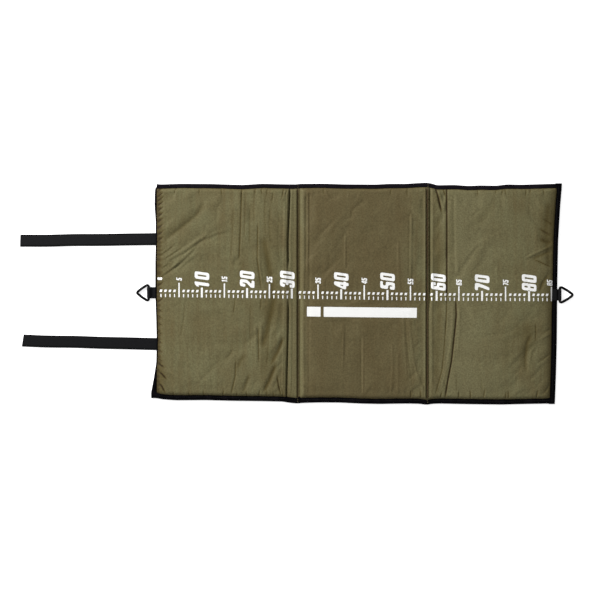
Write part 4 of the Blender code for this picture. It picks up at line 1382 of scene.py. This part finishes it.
# %% Tapes round the mat
UNDER_LEFT_TAPE, UNDER_RIGHT_TAPE, UNDER_SIDE_TAPES = 0.0005, 0.0015, 0.002
TAPE_STOPS = {
    "left": (REACH[0] + UNDER_LEFT_TAPE, None), "right": (None, REACH[1] - BINDING_WIDTH + UNDER_RIGHT_TAPE),
}
for stretch in STRETCHES:
    name, start, end, _ = stretch
    first, last = TAPE_STOPS.get(name, (None, None))
    for word, side in LONG_SIDES:
        stands_for = solid_named(f"{name}_{word}_binding")
        side_tape(f"{name}_{word}_tape", first or start, last or end, side, riding(stretch), stands_for)
end_tape("right", REACH[1], -1, BINDING_WIDTH + RIGHT_EXTRA, (-HALF_WIDTH, HALF_WIDTH))
left_low, left_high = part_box("left_end_binding")
left_reach = left_low.y - UNDER_SIDE_TAPES, left_high.y + UNDER_SIDE_TAPES
end_tape("left", REACH[0], 1, LEFT_BINDING, left_reach, corner_gap)
print("tapes on", 2 * len(STRETCHES), "stretches and both ends")

# %% [markdown]
# A row of stitches holds the binding, and a zigzag of brown thread runs down each sewn channel. A stitch is
# a short thread that dips into the cloth at both ends, so it is a small spindle, and one mesh holds a row.

# %% Stitches
STITCH_PITCH, STITCH_LENGTH, THREAD = 4.2 * MM, 3.2 * MM, 0.35 * MM
ZIGZAG_PITCH, ZIGZAG_LENGTH, ZIGZAG_LEAN = 1.5 * MM, 1.7 * MM, 1.9
# A stitch's rings: how far along, and how fat. It dips into the cloth at both ends.
SPINDLE = ((0.0, 0.25), (0.2, 0.9), (0.5, 1.15), (0.8, 0.9), (1.0, 0.25))
SPINDLE_SIDES, DIP = 6, 0.6


def spindle(form, start, way):
    """One stitch from start along way."""
    length, (wx, wy) = np.hypot(*way), way
    rings = []
    for share, fat in SPINDLE:
        lift = THREAD * (2 * math.sin(math.pi * share) - DIP)
        x, y, z = start[0] + wx * share, start[1] + wy * share, start[2] + lift
        ring = []
        for n in range(SPINDLE_SIDES):
            turn = math.pi * n / (SPINDLE_SIDES / 2)
            side, up = THREAD * fat * math.cos(turn), THREAD * fat * math.sin(turn)
            ring.append(form.verts.new((x - wy / length * side, y + wx / length * side, z + up)))
        rings.append(ring)
    for low, high in zip(rings, rings[1:]):
        for n in range(SPINDLE_SIDES):
            after = (n + 1) % SPINDLE_SIDES
            form.faces.new([low[n], low[after], high[after], high[n]])
    form.faces.new(rings[0][::-1])
    form.faces.new(rings[-1])


def stitch_row(name, points, finish, body, lean=0.0, zigzag=False):
    """Stitches along a line of (x, y, z) places, each turned by lean, to and fro in a zigzag."""
    pitch, length = (ZIGZAG_PITCH, ZIGZAG_LENGTH) if zigzag else (STITCH_PITCH, STITCH_LENGTH)
    runs = np.concatenate([[0], np.cumsum(np.linalg.norm(np.diff(points, axis=0), axis=1))])
    form = bmesh.new()
    for n, run in enumerate(np.arange(pitch / 2, runs[-1] - length, pitch)):
        here = [np.interp(run, runs, points[:, k]) for k in range(3)]
        there = [np.interp(run + length, runs, points[:, k]) for k in range(3)]
        way = np.array([there[0] - here[0], there[1] - here[1]])
        turned = lean * (-1 if zigzag and n % 2 else 1) * np.array([-way[1], way[0]])
        here[0] -= turned[0] / 2 * zigzag
        spindle(form, here, way + turned)
    bmesh.ops.recalc_face_normals(form, faces=form.faces[:])
    return dressed(name, mesh_of(form, name), finish, body)


print("stitches are", STITCH_LENGTH / MM, "mm long")

# %% Stitches in the binding
STITCH_INSET = 0.0072
TAPE_TOP = BINDING_THICK * 1.03
ROW_START, ROW_END, RIGHT_ROW_END, END_ROW_MARGIN = 0.003, 0.001, 0.006, 0.004
spans = {name: (start, end) for name, start, end, _ in STRETCHES}


def on_tape(x, y, lift=0):
    """A row of places on the tape's upper leg."""
    return np.stack([x, y, np.full_like(x, TAPE_TOP + lift)], 1)


for name in ("left", "spine", "middle", "right"):
    start, end = spans[name]
    run = lines(start + ROW_START, end - ROW_END - RIGHT_ROW_END * (name == "right"), TAPE_STRIDE)
    for word, side in LONG_SIDES:
        edge_x, edge_y = wander(run, np.full_like(run, side * HALF_WIDTH))
        row = on_tape(edge_x, edge_y - side * STITCH_INSET)
        stitch_row(f"{name}_{word}_stitches", row, black_thread, name)
run = lines(-HALF_WIDTH + END_ROW_MARGIN, HALF_WIDTH - END_ROW_MARGIN, TAPE_STRIDE)
edge_x, edge_y = wander(np.full_like(run, REACH[1]), run)
stitch_row("right_end_stitches", on_tape(edge_x - STITCH_INSET, edge_y), black_thread, "right")
print("binding rows lie", STITCH_INSET / MM, "mm in from the edge")

# %% Stitches over the folds
SEAM_STITCHES = (
    ("left_seam_stitches", LEFT_SEAM, riding(LEFT_SEAM_STRETCH)),
    ("right_seam_stitches", (RIGHT_SEAM_START + RIGHT_SEAM_END) / 2, "right_fold_strip"),
)
run = lines(-PAD_EDGE_Y, PAD_EDGE_Y, TAPE_STRIDE)
for name, seam, body in SEAM_STITCHES:
    x, y, z, _ = upper_side(np.full_like(run, seam), run)
    row = np.stack([x, y, z + THREAD / 2], 1)
    stitch_row(name, row, brown_thread, body, lean=ZIGZAG_LEAN, zigzag=True)
# Where a seam meets the edge, its olive thread crosses the binding.
RIGHT_CROSSING, CROSSING_START, CROSSING_END, CROSSING_LEAN = 0.0045, 0.0008, 0.003, 0.3
CROSSINGS = (
    ("left_seam", LEFT_SEAM, riding(LEFT_SEAM_STRETCH)),
    ("right_seam", RIGHT_SEAM_END - RIGHT_CROSSING, "right_fold_strip"),
)
run = lines(CROSSING_START, BINDING_WIDTH + CROSSING_END, MM)
for name, seam, body in CROSSINGS:
    for word, side in LONG_SIDES:
        edge_x, edge_y = wander(np.full_like(run, seam), np.full_like(run, side * HALF_WIDTH))
        row = on_tape(edge_x, edge_y - side * run, THREAD / 2)
        stitch_row(f"{name}_{word}_crossing", row, thread, body, lean=CROSSING_LEAN)
print(len(SEAM_STITCHES), "zigzags and", 2 * len(CROSSINGS), "crossings")

# %% [markdown]
# The straps are hook tape: a thin woven tape, smooth along both edges, with a raised field of plastic hooks
# between. Each is cut where its two hinges are, with a short piece over each. The strap leans a little off
# the straight and isn't perfectly flat.

# %% Straps
end_low, end_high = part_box("upper_strap_end")
STRAP_HALF, STRAP_TOP, STRAP_END = (end_high.y - end_low.y) / 2, end_high.z, end_low.x
STRAP_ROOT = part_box("upper_strap_side")[1].x
STRAP_FOLD = halfway("upper_strap_end", "upper_strap_side")
TAPE_SHARE = 0.64
SELVEDGE = 0.0030
STRAP_BEND = 0.003
END_SHIFTS = {"upper": -0.0046, "lower": 0.0009}
# Photo pixels of each strap's upper and lower edge at the mat and at the free end.
STRAP_PIXELS = {"upper": ((233.6, 244.4), (235.4, 246.0)), "lower": ((338.7, 349.6), (335.5, 346.0))}
STRAP_STRIDE = 2.5 * MM
STRAP_COLUMNS = 24
END_SLANT = {"upper": 0.0008, "lower": 0.0045}
SLANT_FROM, SLANT_OVER = 0.2, 0.04
SWAY, SWAY_TURNS = 0.5 * MM, 14
FIELD_RISE = 0.05
SHARP_ANGLE = math.radians(50)
# The lower strap's hooks are more worn, and show as a darker field.
HOOKS_LEFT = {"upper": 0.85, "lower": 0.50}


def strap_section():
    """The strap's section as a closed line: across from -1 to 1, height, and how much of it is hooks."""
    across = np.linspace(-1, 1, STRAP_COLUMNS)
    rise = np.clip((1 - SELVEDGE / STRAP_HALF - abs(across)) / FIELD_RISE, 0, 1)
    heights, under_side = STRAP_TOP * (TAPE_SHARE + (1 - TAPE_SHARE) * rise), np.zeros(STRAP_COLUMNS)
    upper_lower = ((across, across[::-1]), (heights, under_side), (rise, under_side))
    return [np.concatenate([upper, lower, upper[:1]]) for upper, lower in upper_lower]


def strap_piece(word, name, start, end, body, replaces=(), free_end=False):
    runs = lines(start, end, BEND_STRIDE if abs(end - start) < 0.01 else STRAP_STRIDE)
    loop, high, hooked = strap_section()
    pile = HOOKS_LEFT[word] * hooked
    run, loop = np.meshgrid(runs, loop, indexing="ij")
    share = (STRAP_ROOT - run) / (STRAP_ROOT - STRAP_END)
    (root_top, root_low), (end_top, end_low) = STRAP_PIXELS[word]
    root_y, end_y = place_y((root_top + root_low) / 2), place_y((end_top + end_low) / 2)
    middle = root_y + (end_y - root_y) * share
    sway = SWAY * np.sin(SWAY_TURNS * share + STRAP_ROOT) * np.clip(share, 0, 1)
    y = middle + sway + loop * STRAP_HALF
    x = run + END_SLANT[word] * loop * np.clip((STRAP_FOLD - SLANT_FROM - run) / SLANT_OVER, 0, 1) / 2
    mesh = grid_mesh(name, x, y, np.broadcast_to(high, run.shape), pile=pile)
    if free_end:
        close_end(mesh, len(runs) - 1, loop.shape[1])
    return dressed(name, mesh, hooks, body, replaces)


def close_end(mesh, row, columns):
    """Closes the cut end of a strap with a face between its upper and lower edges."""
    form = bmesh.new()
    form.from_mesh(mesh)
    form.verts.ensure_lookup_table()
    first, last = row * columns, row * columns + 2 * STRAP_COLUMNS - 1
    for n in range(STRAP_COLUMNS - 1):
        form.faces.new([form.verts[i] for i in (first + n, first + n + 1, last - 1 - n, last - n)])
    form.to_mesh(mesh)
    form.free()
    mesh.shade_smooth()
    mesh.set_sharp_from_angle(angle=SHARP_ANGLE)


print("each strap is", round(2000 * STRAP_HALF, 1), "mm wide")

# %% Lengths of the straps
NEAR_ENDS = STRAP_ROOT + STRAP_BEND, STRAP_ROOT - STRAP_BEND
FAR_ENDS = STRAP_FOLD + STRAP_BEND, STRAP_FOLD - STRAP_BEND
for word in ("upper", "lower"):
    y_mid = float(place_y(sum(STRAP_PIXELS[word][0]) / 2))
    side_body, end_body = f"{word}_strap_side_length", f"{word}_strap_end_length"
    bends = (("root", *NEAR_ENDS, "left", side_body), ("bend", *FAR_ENDS, side_body, end_body))
    for part, start, end, first, second in bends:
        across = (first, second, (start, y_mid, 0), (end, y_mid, 0))
        strap_piece(word, f"{word}_strap_{part}_piece", start, end, across)
    near, far = f"{word}_strap_near_piece", f"{word}_strap_far_piece"
    strap_piece(word, near, NEAR_ENDS[1], FAR_ENDS[0], side_body, (f"{word}_strap_side",))
    strap_piece(word, far, FAR_ENDS[1], STRAP_END + END_SHIFTS[word], end_body, (f"{word}_strap_end",), True)
print("straps reach", round((STRAP_ROOT - STRAP_END) / MM), "mm from the mat")

# %% [markdown]
# Each ring is one bent wire, a triangle with round corners, painted black. It hangs in a loop of webbing
# that is sewn in under the binding. The solid's ring has few facets, so a smoother sweep along the same path
# replaces it.

# %% Rings
SOLID_WIRE_RADIUS = 0.0018
WIRE_RADIUS = 0.0028
WIRE_SIDES, CORNER_STEPS, WIRE_STRIDE = 16, 8, 1.2 * MM
RING_HALF = 0.0190
RING_REACHES = {"left": 0.0267, "right": 0.0298}
# The legs bulge a little between the bar's corners and the far tip.
BAR_CORNER, BELLY_CORNER, APEX_CORNER = 0.0085, 0.04, 0.0040
BELLY_OUT, BELLY_WIDE = 0.56, 0.50
MOST_CUT, NEARLY_STRAIGHT = 0.45, math.pi / 2 - 0.01
RING_SHIFTS = {"left": 0.0019, "right": -0.0027}
RING_HIGH = (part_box("left_ring")[0].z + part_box("left_ring")[1].z) / 2


def rounded_corners(corners, radii, steps):
    """Points round a closed outline whose corners are arcs, of one radius or of one for each corner."""
    points = []
    corners = [np.asarray(corner, float) for corner in corners]
    for n, (corner, radius) in enumerate(zip(corners, np.broadcast_to(radii, len(corners)))):
        back, ahead = corners[n - 1] - corner, corners[(n + 1) % len(corners)] - corner
        limit = MOST_CUT * min(np.linalg.norm(back), np.linalg.norm(ahead))
        back, ahead = back / np.linalg.norm(back), ahead / np.linalg.norm(ahead)
        half = math.acos(np.clip(back @ ahead, -1, 1)) / 2
        cut = min(radius / math.tan(half), limit) if half < NEARLY_STRAIGHT else 0
        for step in range(steps + 1):
            t = step / steps
            first, last = corner + back * cut, corner + ahead * cut
            points.append((1 - t) ** 2 * first + 2 * t * (1 - t) * corner + t**2 * last)
    return points


def wire_ring(word, path):
    """A closed wire along a level path of (x, y) places."""
    ahead = np.roll(path, -1, 0) - np.roll(path, 1, 0)
    ahead = ahead / np.linalg.norm(ahead, axis=1)[:, None]
    turns = np.linspace(0, 2 * math.pi, WIRE_SIDES + 1)
    side = np.stack([ahead[:, 1], -ahead[:, 0]], 1)
    x = path[:, :1] + WIRE_RADIUS * side[:, :1] * np.cos(turns)
    y = path[:, 1:] + WIRE_RADIUS * side[:, 1:] * np.cos(turns)
    z = np.broadcast_to(RING_HIGH + WIRE_RADIUS * np.sin(turns), x.shape)
    loop = [np.concatenate([array, array[:1]]) for array in (x, y, z)]
    mesh = welded(grid_mesh(f"{word}_wire", *loop), WIRE_RADIUS / 100)
    return dressed(f"{word}_wire", mesh, painted, f"{word}_wire_ring", (f"{word}_ring",))


def even_steps(points, spacing):
    """The same closed outline with points at even distances."""
    points = np.asarray(points)
    closed = np.concatenate([points, points[:1]])
    run = np.concatenate([[0], np.cumsum(np.linalg.norm(np.diff(closed, axis=0), axis=1))])
    at = np.linspace(0, run[-1], round(run[-1] / spacing), endpoint=False)
    return np.stack([np.interp(at, run, closed[:, k]) for k in range(2)], 1)


print("wire is", 2000 * WIRE_RADIUS, "mm thick")

# %% Wires in the tabs
ring_bars = {}
for word, outward in ENDS:
    box_low, box_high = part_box(f"{word}_ring")
    bar = box_high.x - SOLID_WIRE_RADIUS if outward < 0 else box_low.x + SOLID_WIRE_RADIUS
    ring_bars[word] = bar
    shift = RING_SHIFTS[word]
    reach = outward * RING_REACHES[word]
    belly_x, belly_y = bar + BELLY_OUT * reach, BELLY_WIDE * RING_HALF
    corners = [
        (bar, shift - RING_HALF), (belly_x, shift - belly_y), (bar + reach, shift),
        (belly_x, shift + belly_y), (bar, shift + RING_HALF),
    ]
    radii = (BAR_CORNER, BELLY_CORNER, APEX_CORNER, BELLY_CORNER, BAR_CORNER)
    path = even_steps(rounded_corners(corners, radii, CORNER_STEPS), WIRE_STRIDE)
    wire_ring(word, path)
print("rings hang at", {word: round(bar / MM, 1) for word, bar in ring_bars.items()}, "mm")

# %% [markdown]
# The webbing tab is one strip that goes out from the mat, round the ring's bar and back. It is drawn as the
# strip's own line from the side, with the webbing's thickness to both sides of it, and swept across.

# %% Webbing tabs
WEBBING = 0.0012
TAB_SPREAD = 0.6 * MM
TAB_HALF = (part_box("left_ring_tab")[1].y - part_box("left_ring_tab")[0].y) / 2 + TAB_SPREAD
TAB_ROWS = 14
LOWER_STOPS = (0.0, 0.35, 0.7, 0.9)
WRAP_END, WRAP_STEPS = math.radians(128), 16
# The upper ply comes down this far from the bar, and lies so many thicknesses high.
SEAM_RADII, SEAM_MOST, SEAM_HIGH = 1.4, 0.8, 1.65
UPPER_STOP, UPPER_HIGH = 0.25, 1.6
ROUND_FROM, ROUND_POWER, THIN_EDGE = 0.985, 8, 0.05


def tab_line(root, bar, outward):
    """The middle line of the webbing from the side: out along the bottom, round the bar, back on top."""
    radius = WIRE_RADIUS + WEBBING / 2
    length = abs(bar - root)
    low = [(root + outward * length * share, WEBBING / 2) for share in LOWER_STOPS]
    turns = np.linspace(-math.pi / 2, WRAP_END, WRAP_STEPS)
    around = [(bar + outward * radius * math.cos(t), RING_HIGH + radius * math.sin(t)) for t in turns]
    seam = bar - outward * min(SEAM_RADII * radius, SEAM_MOST * length)
    stop, high = root + outward * UPPER_STOP * length, WEBBING * UPPER_HIGH
    return np.array(low + around + [(seam, WEBBING * SEAM_HIGH), (stop, high), (root, high)])


def webbing_strip(name, line, middle, body, replaces):
    """The webbing as a closed strip: its line from the side, swept across, with rounded edges."""
    way = np.gradient(line, axis=0)
    way = way / np.linalg.norm(way, axis=1)[:, None]
    normal = np.stack([-way[:, 1], way[:, 0]], 1)
    across = np.cos(np.linspace(math.pi, 0, TAB_ROWS))
    loop_y = np.concatenate([across, across[::-1], across[:1]]) * TAB_HALF + middle
    thin = np.sqrt(np.clip(1 - (ROUND_FROM * across) ** ROUND_POWER, THIN_EDGE, 1))
    loop_t = np.concatenate([thin, -thin[::-1], thin[:1]]) * WEBBING / 2
    x = line[:, :1] + normal[:, :1] * loop_t
    z = line[:, 1:] + normal[:, 1:] * loop_t
    y = np.broadcast_to(loop_y, x.shape)
    mesh = welded(grid_mesh(name, x, y, np.maximum(z, 0)), WEBBING / 200)
    return dressed(name, mesh, webbing, body, replaces)


for word, outward in ENDS:
    box_low, box_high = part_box(f"{word}_ring_tab")
    root = box_high.x if outward < 0 else box_low.x
    line = tab_line(root, ring_bars[word], outward)
    webbing_strip(f"{word}_webbing", line, RING_SHIFTS[word], f"{word}_tab", (f"{word}_ring_tab",))

tail_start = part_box("right_tab_tail")[0].x
tail_edge = REACH[1] + float(right_drift(0.0))
tail_high = BINDING_THICK * 1.08 + WEBBING / 2
tab_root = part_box("right_ring_tab")[0].x
# The tail's line from the side: flat on the binding, then down over its turn and into the tab.
tail_line = np.array((
    (tail_start - 0.003, tail_high), (tail_edge - 0.0035, tail_high),
    (tail_edge - 0.0008, tail_high - 0.0006), (tail_edge + 0.0007, BINDING_THICK * 0.62),
    (tab_root - 0.0002, WEBBING * 1.9), (tab_root + 0.0006, WEBBING * 1.6),
))
webbing_strip("right_webbing_tail", tail_line, RING_SHIFTS["right"], "right", ("right_tab_tail",))
print("tabs are", round(2 * TAB_HALF / MM, 1), "mm wide")

# %% [markdown]
# The ruler is printed in white on the cloth. Marks stand a centimetre apart: a short line with a slanted dot
# over it, a long line with a small number at each five, and a thick line with a big number at each ten. The
# digits are heavy blocks with thin slits, leaning a little, and they are turned to read from below. The
# print is a thin skin that follows the cloth. The two white fields under it are left without lettering.

# %% Digit shapes
SLIT_LEFT, SLIT_RIGHT = 0.40, 0.62


def slit(low, high):
    """The outline of an upright slit in a digit."""
    return (SLIT_LEFT, low), (SLIT_RIGHT, low), (SLIT_RIGHT, high), (SLIT_LEFT, high)


# Outlines in a cell one wide and one high, as shares of it: the first is the outline, the rest are slits.
DIGIT_SHARES = {
    "0": (((0, 0), (1, 0), (1, 1), (0, 1)), slit(0.2, 0.8)),
    "1": (((0.34, 0), (0.78, 0), (0.78, 1), (0.46, 1), (0.12, 0.86), (0.12, 0.68), (0.34, 0.76)),),
    "2": ((
        (0, 0), (1, 0), (1, 0.2), (0.48, 0.2), (1, 0.5), (1, 1), (0, 1), (0, 0.62), (0.42, 0.62),
        (0.42, 0.82), (0.58, 0.82), (0.58, 0.56), (0, 0.24),
    ),),
    "3": ((
        (0, 0), (1, 0), (1, 0.46), (0.9, 0.51), (1, 0.56), (1, 1), (0, 1), (0, 0.66), (0.42, 0.66),
        (0.42, 0.82), (0.58, 0.82), (0.58, 0.6), (0.3, 0.6), (0.3, 0.43), (0.58, 0.43), (0.58, 0.18),
        (0.42, 0.18), (0.42, 0.34), (0, 0.34),
    ),),
    "4": (
        ((0.5, 0), (0.92, 0), (0.92, 0.17), (1.04, 0.17), (1.04, 0.36), (0.92, 0.36), (0.92, 1), (0.44, 1),
         (0, 0.36), (0, 0.17), (0.5, 0.17)),
        ((0.36, 0.37), (0.54, 0.37), (0.54, 0.68)),
    ),
    "5": ((
        (0, 0), (1, 0), (1, 0.62), (0.45, 0.62), (0.45, 0.82), (1, 0.82), (1, 1), (0, 1), (0, 0.46),
        (0.58, 0.46), (0.58, 0.18), (0.42, 0.18), (0.42, 0.34), (0, 0.34),
    ),),
    "6": (
        ((0, 0), (1, 0), (1, 0.6), (0.45, 0.6), (0.45, 0.82), (0.58, 0.82), (0.58, 0.68), (1, 0.68), (1, 1),
         (0, 1)),
        slit(0.18, 0.44),
    ),
    "7": (((0.2, 0), (0.62, 0), (1, 0.72), (1, 1), (0, 1), (0, 0.78), (0.56, 0.78)),),
    "8": (
        ((0, 0), (1, 0), (1, 0.46), (0.92, 0.51), (1, 0.56), (1, 1), (0, 1), (0, 0.56), (0.08, 0.51),
         (0, 0.46)),
        slit(0.17, 0.42),
        slit(0.6, 0.83),
    ),
}
DIGIT_ROUND = 0.30
SLIT_ROUND = 0.05
ROUND_STEPS = 3
LEAN = 0.14


def digit_outlines(digit, left, low, wide, high):
    """The digit's outlines in photo pixels: drawn upright, leant over, and turned to read from below."""
    made = []
    for n, outline in enumerate(DIGIT_SHARES[digit]):
        cells = [(u * wide, v * high) for u, v in outline]
        soft = rounded_corners(cells, (SLIT_ROUND if n else DIGIT_ROUND) * wide, ROUND_STEPS)
        made.append([(low - v, left - (u + LEAN * (v - high / 2))) for u, v in soft])
    return made


print("digits drawn:", " ".join(DIGIT_SHARES))

# %% Marks of the ruler
# Photo pixels along the ruler of some whole centimetres. The others are evenly spaced between them.
TICK_PIXELS = {
    "left": {0: 156.4, 5: 179.1, 10: 201.9, 15: 224.4, 20: 247.1, 25: 269.4, 30: 291.8},
    "middle": {31: 299.9, 35: 318.0, 40: 341.2, 45: 364.2, 50: 387.4, 55: 410.4, 56: 414.9, 58: 424.2},
    "right": {59: 431.7, 60: 436.6, 65: 458.8, 70: 482.0, 75: 505.5, 80: 529.0, 85: 551.6},
}
BASELINE_PIXELS = ((160, 297.0), (291, 298.5), (387, 300.0), (437, 300.7), (552, 301.2))
ONE_WIDE, ONE_TALL = 1.05, 3.2
DOT_WIDE, DOT_TALL, DOT_GAP, DOT_LEAN = 2.3, 2.4, 1.9, 0.7
# The line of a five and of a ten: its width and height, and the gap under its number.
NUMBERED_LINES = {5: (1.35, 14.4, 1.2), 10: (1.95, 9.9, 0.4)}
# The digits of a five and of a ten: their height, width and gap, and how far they reach past the line.
NUMBER_SIZES = {5: (5.6, 2.6, 0.35, 2.9), 10: (14.6, 7.25, 1.35, 7.4)}
NUMBER_SHIFTS = {30: -4.6, 60: 1.7, 85: -1.9}
# How far a number stands above its usual place.
NUMBER_RISES = {
    5: 1.2, 10: -0.8, 20: 0.6, 25: 0.4, 30: 1.0, 40: 0.2, 45: 0.4, 50: 0.6, 55: 0.4, 60: 0.5, 70: -0.4,
}


def baseline(px):
    return float(np.interp(px, *zip(*BASELINE_PIXELS)))


def block(left, right, low, high, lean=0.0):
    """A four-sided mark in photo pixels, from its lower to its upper edge."""
    return [[(left, low), (right, low), (right + lean, high), (left + lean, high)]]


def number_outlines(text, px, foot, high, wide, gap, ahead):
    """The digits of a number one above the other, starting at foot and going up the photograph."""
    feet = [foot - n * (wide + gap) for n in range(len(text))]
    return [digit_outlines(digit, here, px + ahead, wide, high) for digit, here in zip(text, feet)]


def tick_outlines(number, px):
    """Every outline of one centimetre's mark."""
    foot = baseline(px)
    if number % 5:
        line = block(px - ONE_WIDE / 2, px + ONE_WIDE / 2, foot, foot - ONE_TALL)
        low = foot - ONE_TALL - DOT_GAP
        left, right = px - DOT_WIDE / 2 - DOT_LEAN / 2, px + DOT_WIDE / 2 - DOT_LEAN / 2
        return [line, block(left, right, low, low - DOT_TALL, DOT_LEAN)]
    rank = 5 if number % 10 else 10
    wide, tall, gap = NUMBERED_LINES[rank]
    line = block(px - wide / 2, px + wide / 2, foot, foot - tall)
    top = foot - tall - gap - NUMBER_RISES.get(number, 0.0)
    middle = px + NUMBER_SHIFTS.get(number, 0.0)
    return [line, *number_outlines(str(number), middle, top, *NUMBER_SIZES[rank])]


def tick_place(number, known):
    return float(np.interp(number, list(known), list(known.values())))


print("ruler of", max(TICK_PIXELS["right"]), "cm")

# %% Every printed shape
# The nought at the left end, and the two white fields, in photo pixels.
ZERO_MARK = (157.4, 162.0, 279.8, 277.4)
SMALL_FIELD = [(306.9, 316.4), (320.5, 316.7), (320.6, 306.9), (307.0, 306.7)]
WIDE_FIELD = [(323.7, 316.8), (416.6, 317.8), (416.9, 307.9), (323.7, 306.9)]
marks = []
for known in TICK_PIXELS.values():
    for number in range(max(1, min(known)), max(known) + 1):
        marks += tick_outlines(number, tick_place(number, known))
marks += [block(*ZERO_MARK), [SMALL_FIELD], [WIDE_FIELD]]
print(len(marks), "printed shapes")

# %% [markdown]
# A flat curve with holes fills itself. The filled shapes are then cut along a fine grid, so that each point
# can be lifted to the cloth's own height and the print bends over every crease. The print is also cut where
# the cover is, because a number that crosses a fold line has to fold with the cloth under it.

# %% Print
INK_LIFT = 0.22 * MM
PRINT_GRID = 1.6 * MM


def filled(name, shapes):
    """All the shapes as one flat mesh, in metres."""
    form = bmesh.new()
    for shape in shapes:
        curve = bpy.data.curves.new(name, "CURVE")
        curve.dimensions = "2D"
        curve.fill_mode = "FRONT"
        for outline in shape:
            spline = curve.splines.new("POLY")
            spline.points.add(len(outline) - 1)
            for point, (px, py) in zip(spline.points, outline):
                point.co = (float(place_x(px)), float(place_y(py)), 0, 1)
            spline.use_cyclic_u = True
        holder = bpy.data.objects.new(name, curve)
        made = bpy.data.meshes.new_from_object(holder)
        form.from_mesh(made)
        bpy.data.objects.remove(holder)
        bpy.data.meshes.remove(made)
        bpy.data.curves.remove(curve)
    return form


def cut_along(form, axis, cuts):
    normal = [0, 0, 0]
    normal[axis] = 1
    for spot in cuts:
        at = [0, 0, 0]
        at[axis] = spot
        everything = form.verts[:] + form.edges[:] + form.faces[:]
        bmesh.ops.bisect_plane(form, geom=everything, plane_co=at, plane_no=normal, dist=1e-7)


def print_piece(stretch, whole):
    """The part of the print that lies on one stretch of the cover, lifted to the cloth."""
    name, start, end, _ = stretch
    form = whole.copy()
    start = -np.inf if stretch is STRETCHES[0] else start
    end = np.inf if stretch is STRETCHES[-1] else end
    elsewhere = [shape for shape in form.faces if not start < shape.calc_center_median().x < end]
    bmesh.ops.delete(form, geom=elsewhere, context="FACES")
    if not form.faces:
        form.free()
        return
    px = np.array([vertex.co.x for vertex in form.verts])
    py = np.array([vertex.co.y for vertex in form.verts])
    for vertex, height in zip(form.verts, surface_height(px, py)):
        vertex.co.z = height + INK_LIFT
    for shape_face in form.faces:
        shape_face.normal_update()
        if shape_face.normal.z < 0:
            shape_face.normal_flip()
    mesh = mesh_of(form, f"{name}_print")
    dressed(f"{name}_print", mesh, ink, riding(stretch))
    print(name, "print has", len(mesh.polygons), "faces")


print("ink lies", INK_LIFT / MM, "mm over the cloth")

# %% Print on each stretch
whole_print = filled("ruler_print", marks)
for axis in (1, 0):
    spots = [vertex.co[axis] for vertex in whole_print.verts]
    cut_along(whole_print, axis, np.arange(min(spots) + PRINT_GRID / 2, max(spots), PRINT_GRID))
cut_along(whole_print, 0, [end for _, _, end, _ in STRETCHES[:-1]])
for stretch in STRETCHES:
    print_piece(stretch, whole_print)
whole_print.free()

# %% [markdown]
# Two patches of looped tape are let into the underside of the middle panel, where the wrapped straps end.
# They are low cushions of loops with a stitched border, seen only when the mat is turned over.

# %% Loop patches
PATCH_STRIDE = 1.5 * MM
PATCH_EDGE = 2 * MM
LOOP_DEPTH, PATCH_SINK = 0.05 * MM, 0.7
for word in ("upper", "lower"):
    low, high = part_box(f"{word}_loop_patch")
    flat_x, flat_y = np.meshgrid(lines(low.x, high.x, PATCH_STRIDE), lines(high.y, low.y, PATCH_STRIDE))
    inside = np.minimum.reduce([flat_x - low.x, high.x - flat_x, flat_y - low.y, high.y - flat_y])
    puff = np.clip(inside / PATCH_EDGE, 0, 1) ** 0.5
    nap = np.sin(2100 * flat_x) * np.sin(1900 * flat_y) * puff
    z = high.z * (1 - puff) * PATCH_SINK + LOOP_DEPTH * nap
    mesh = grid_mesh(f"{word}_loops", flat_x, flat_y, z - LOOP_DEPTH)
    dressed(f"{word}_loops", mesh, loops, "middle", (f"{word}_loop_patch",))
print("patches are", round((high.x - low.x) / MM), "mm long")

# %% Update the scene
bpy.context.view_layer.update()
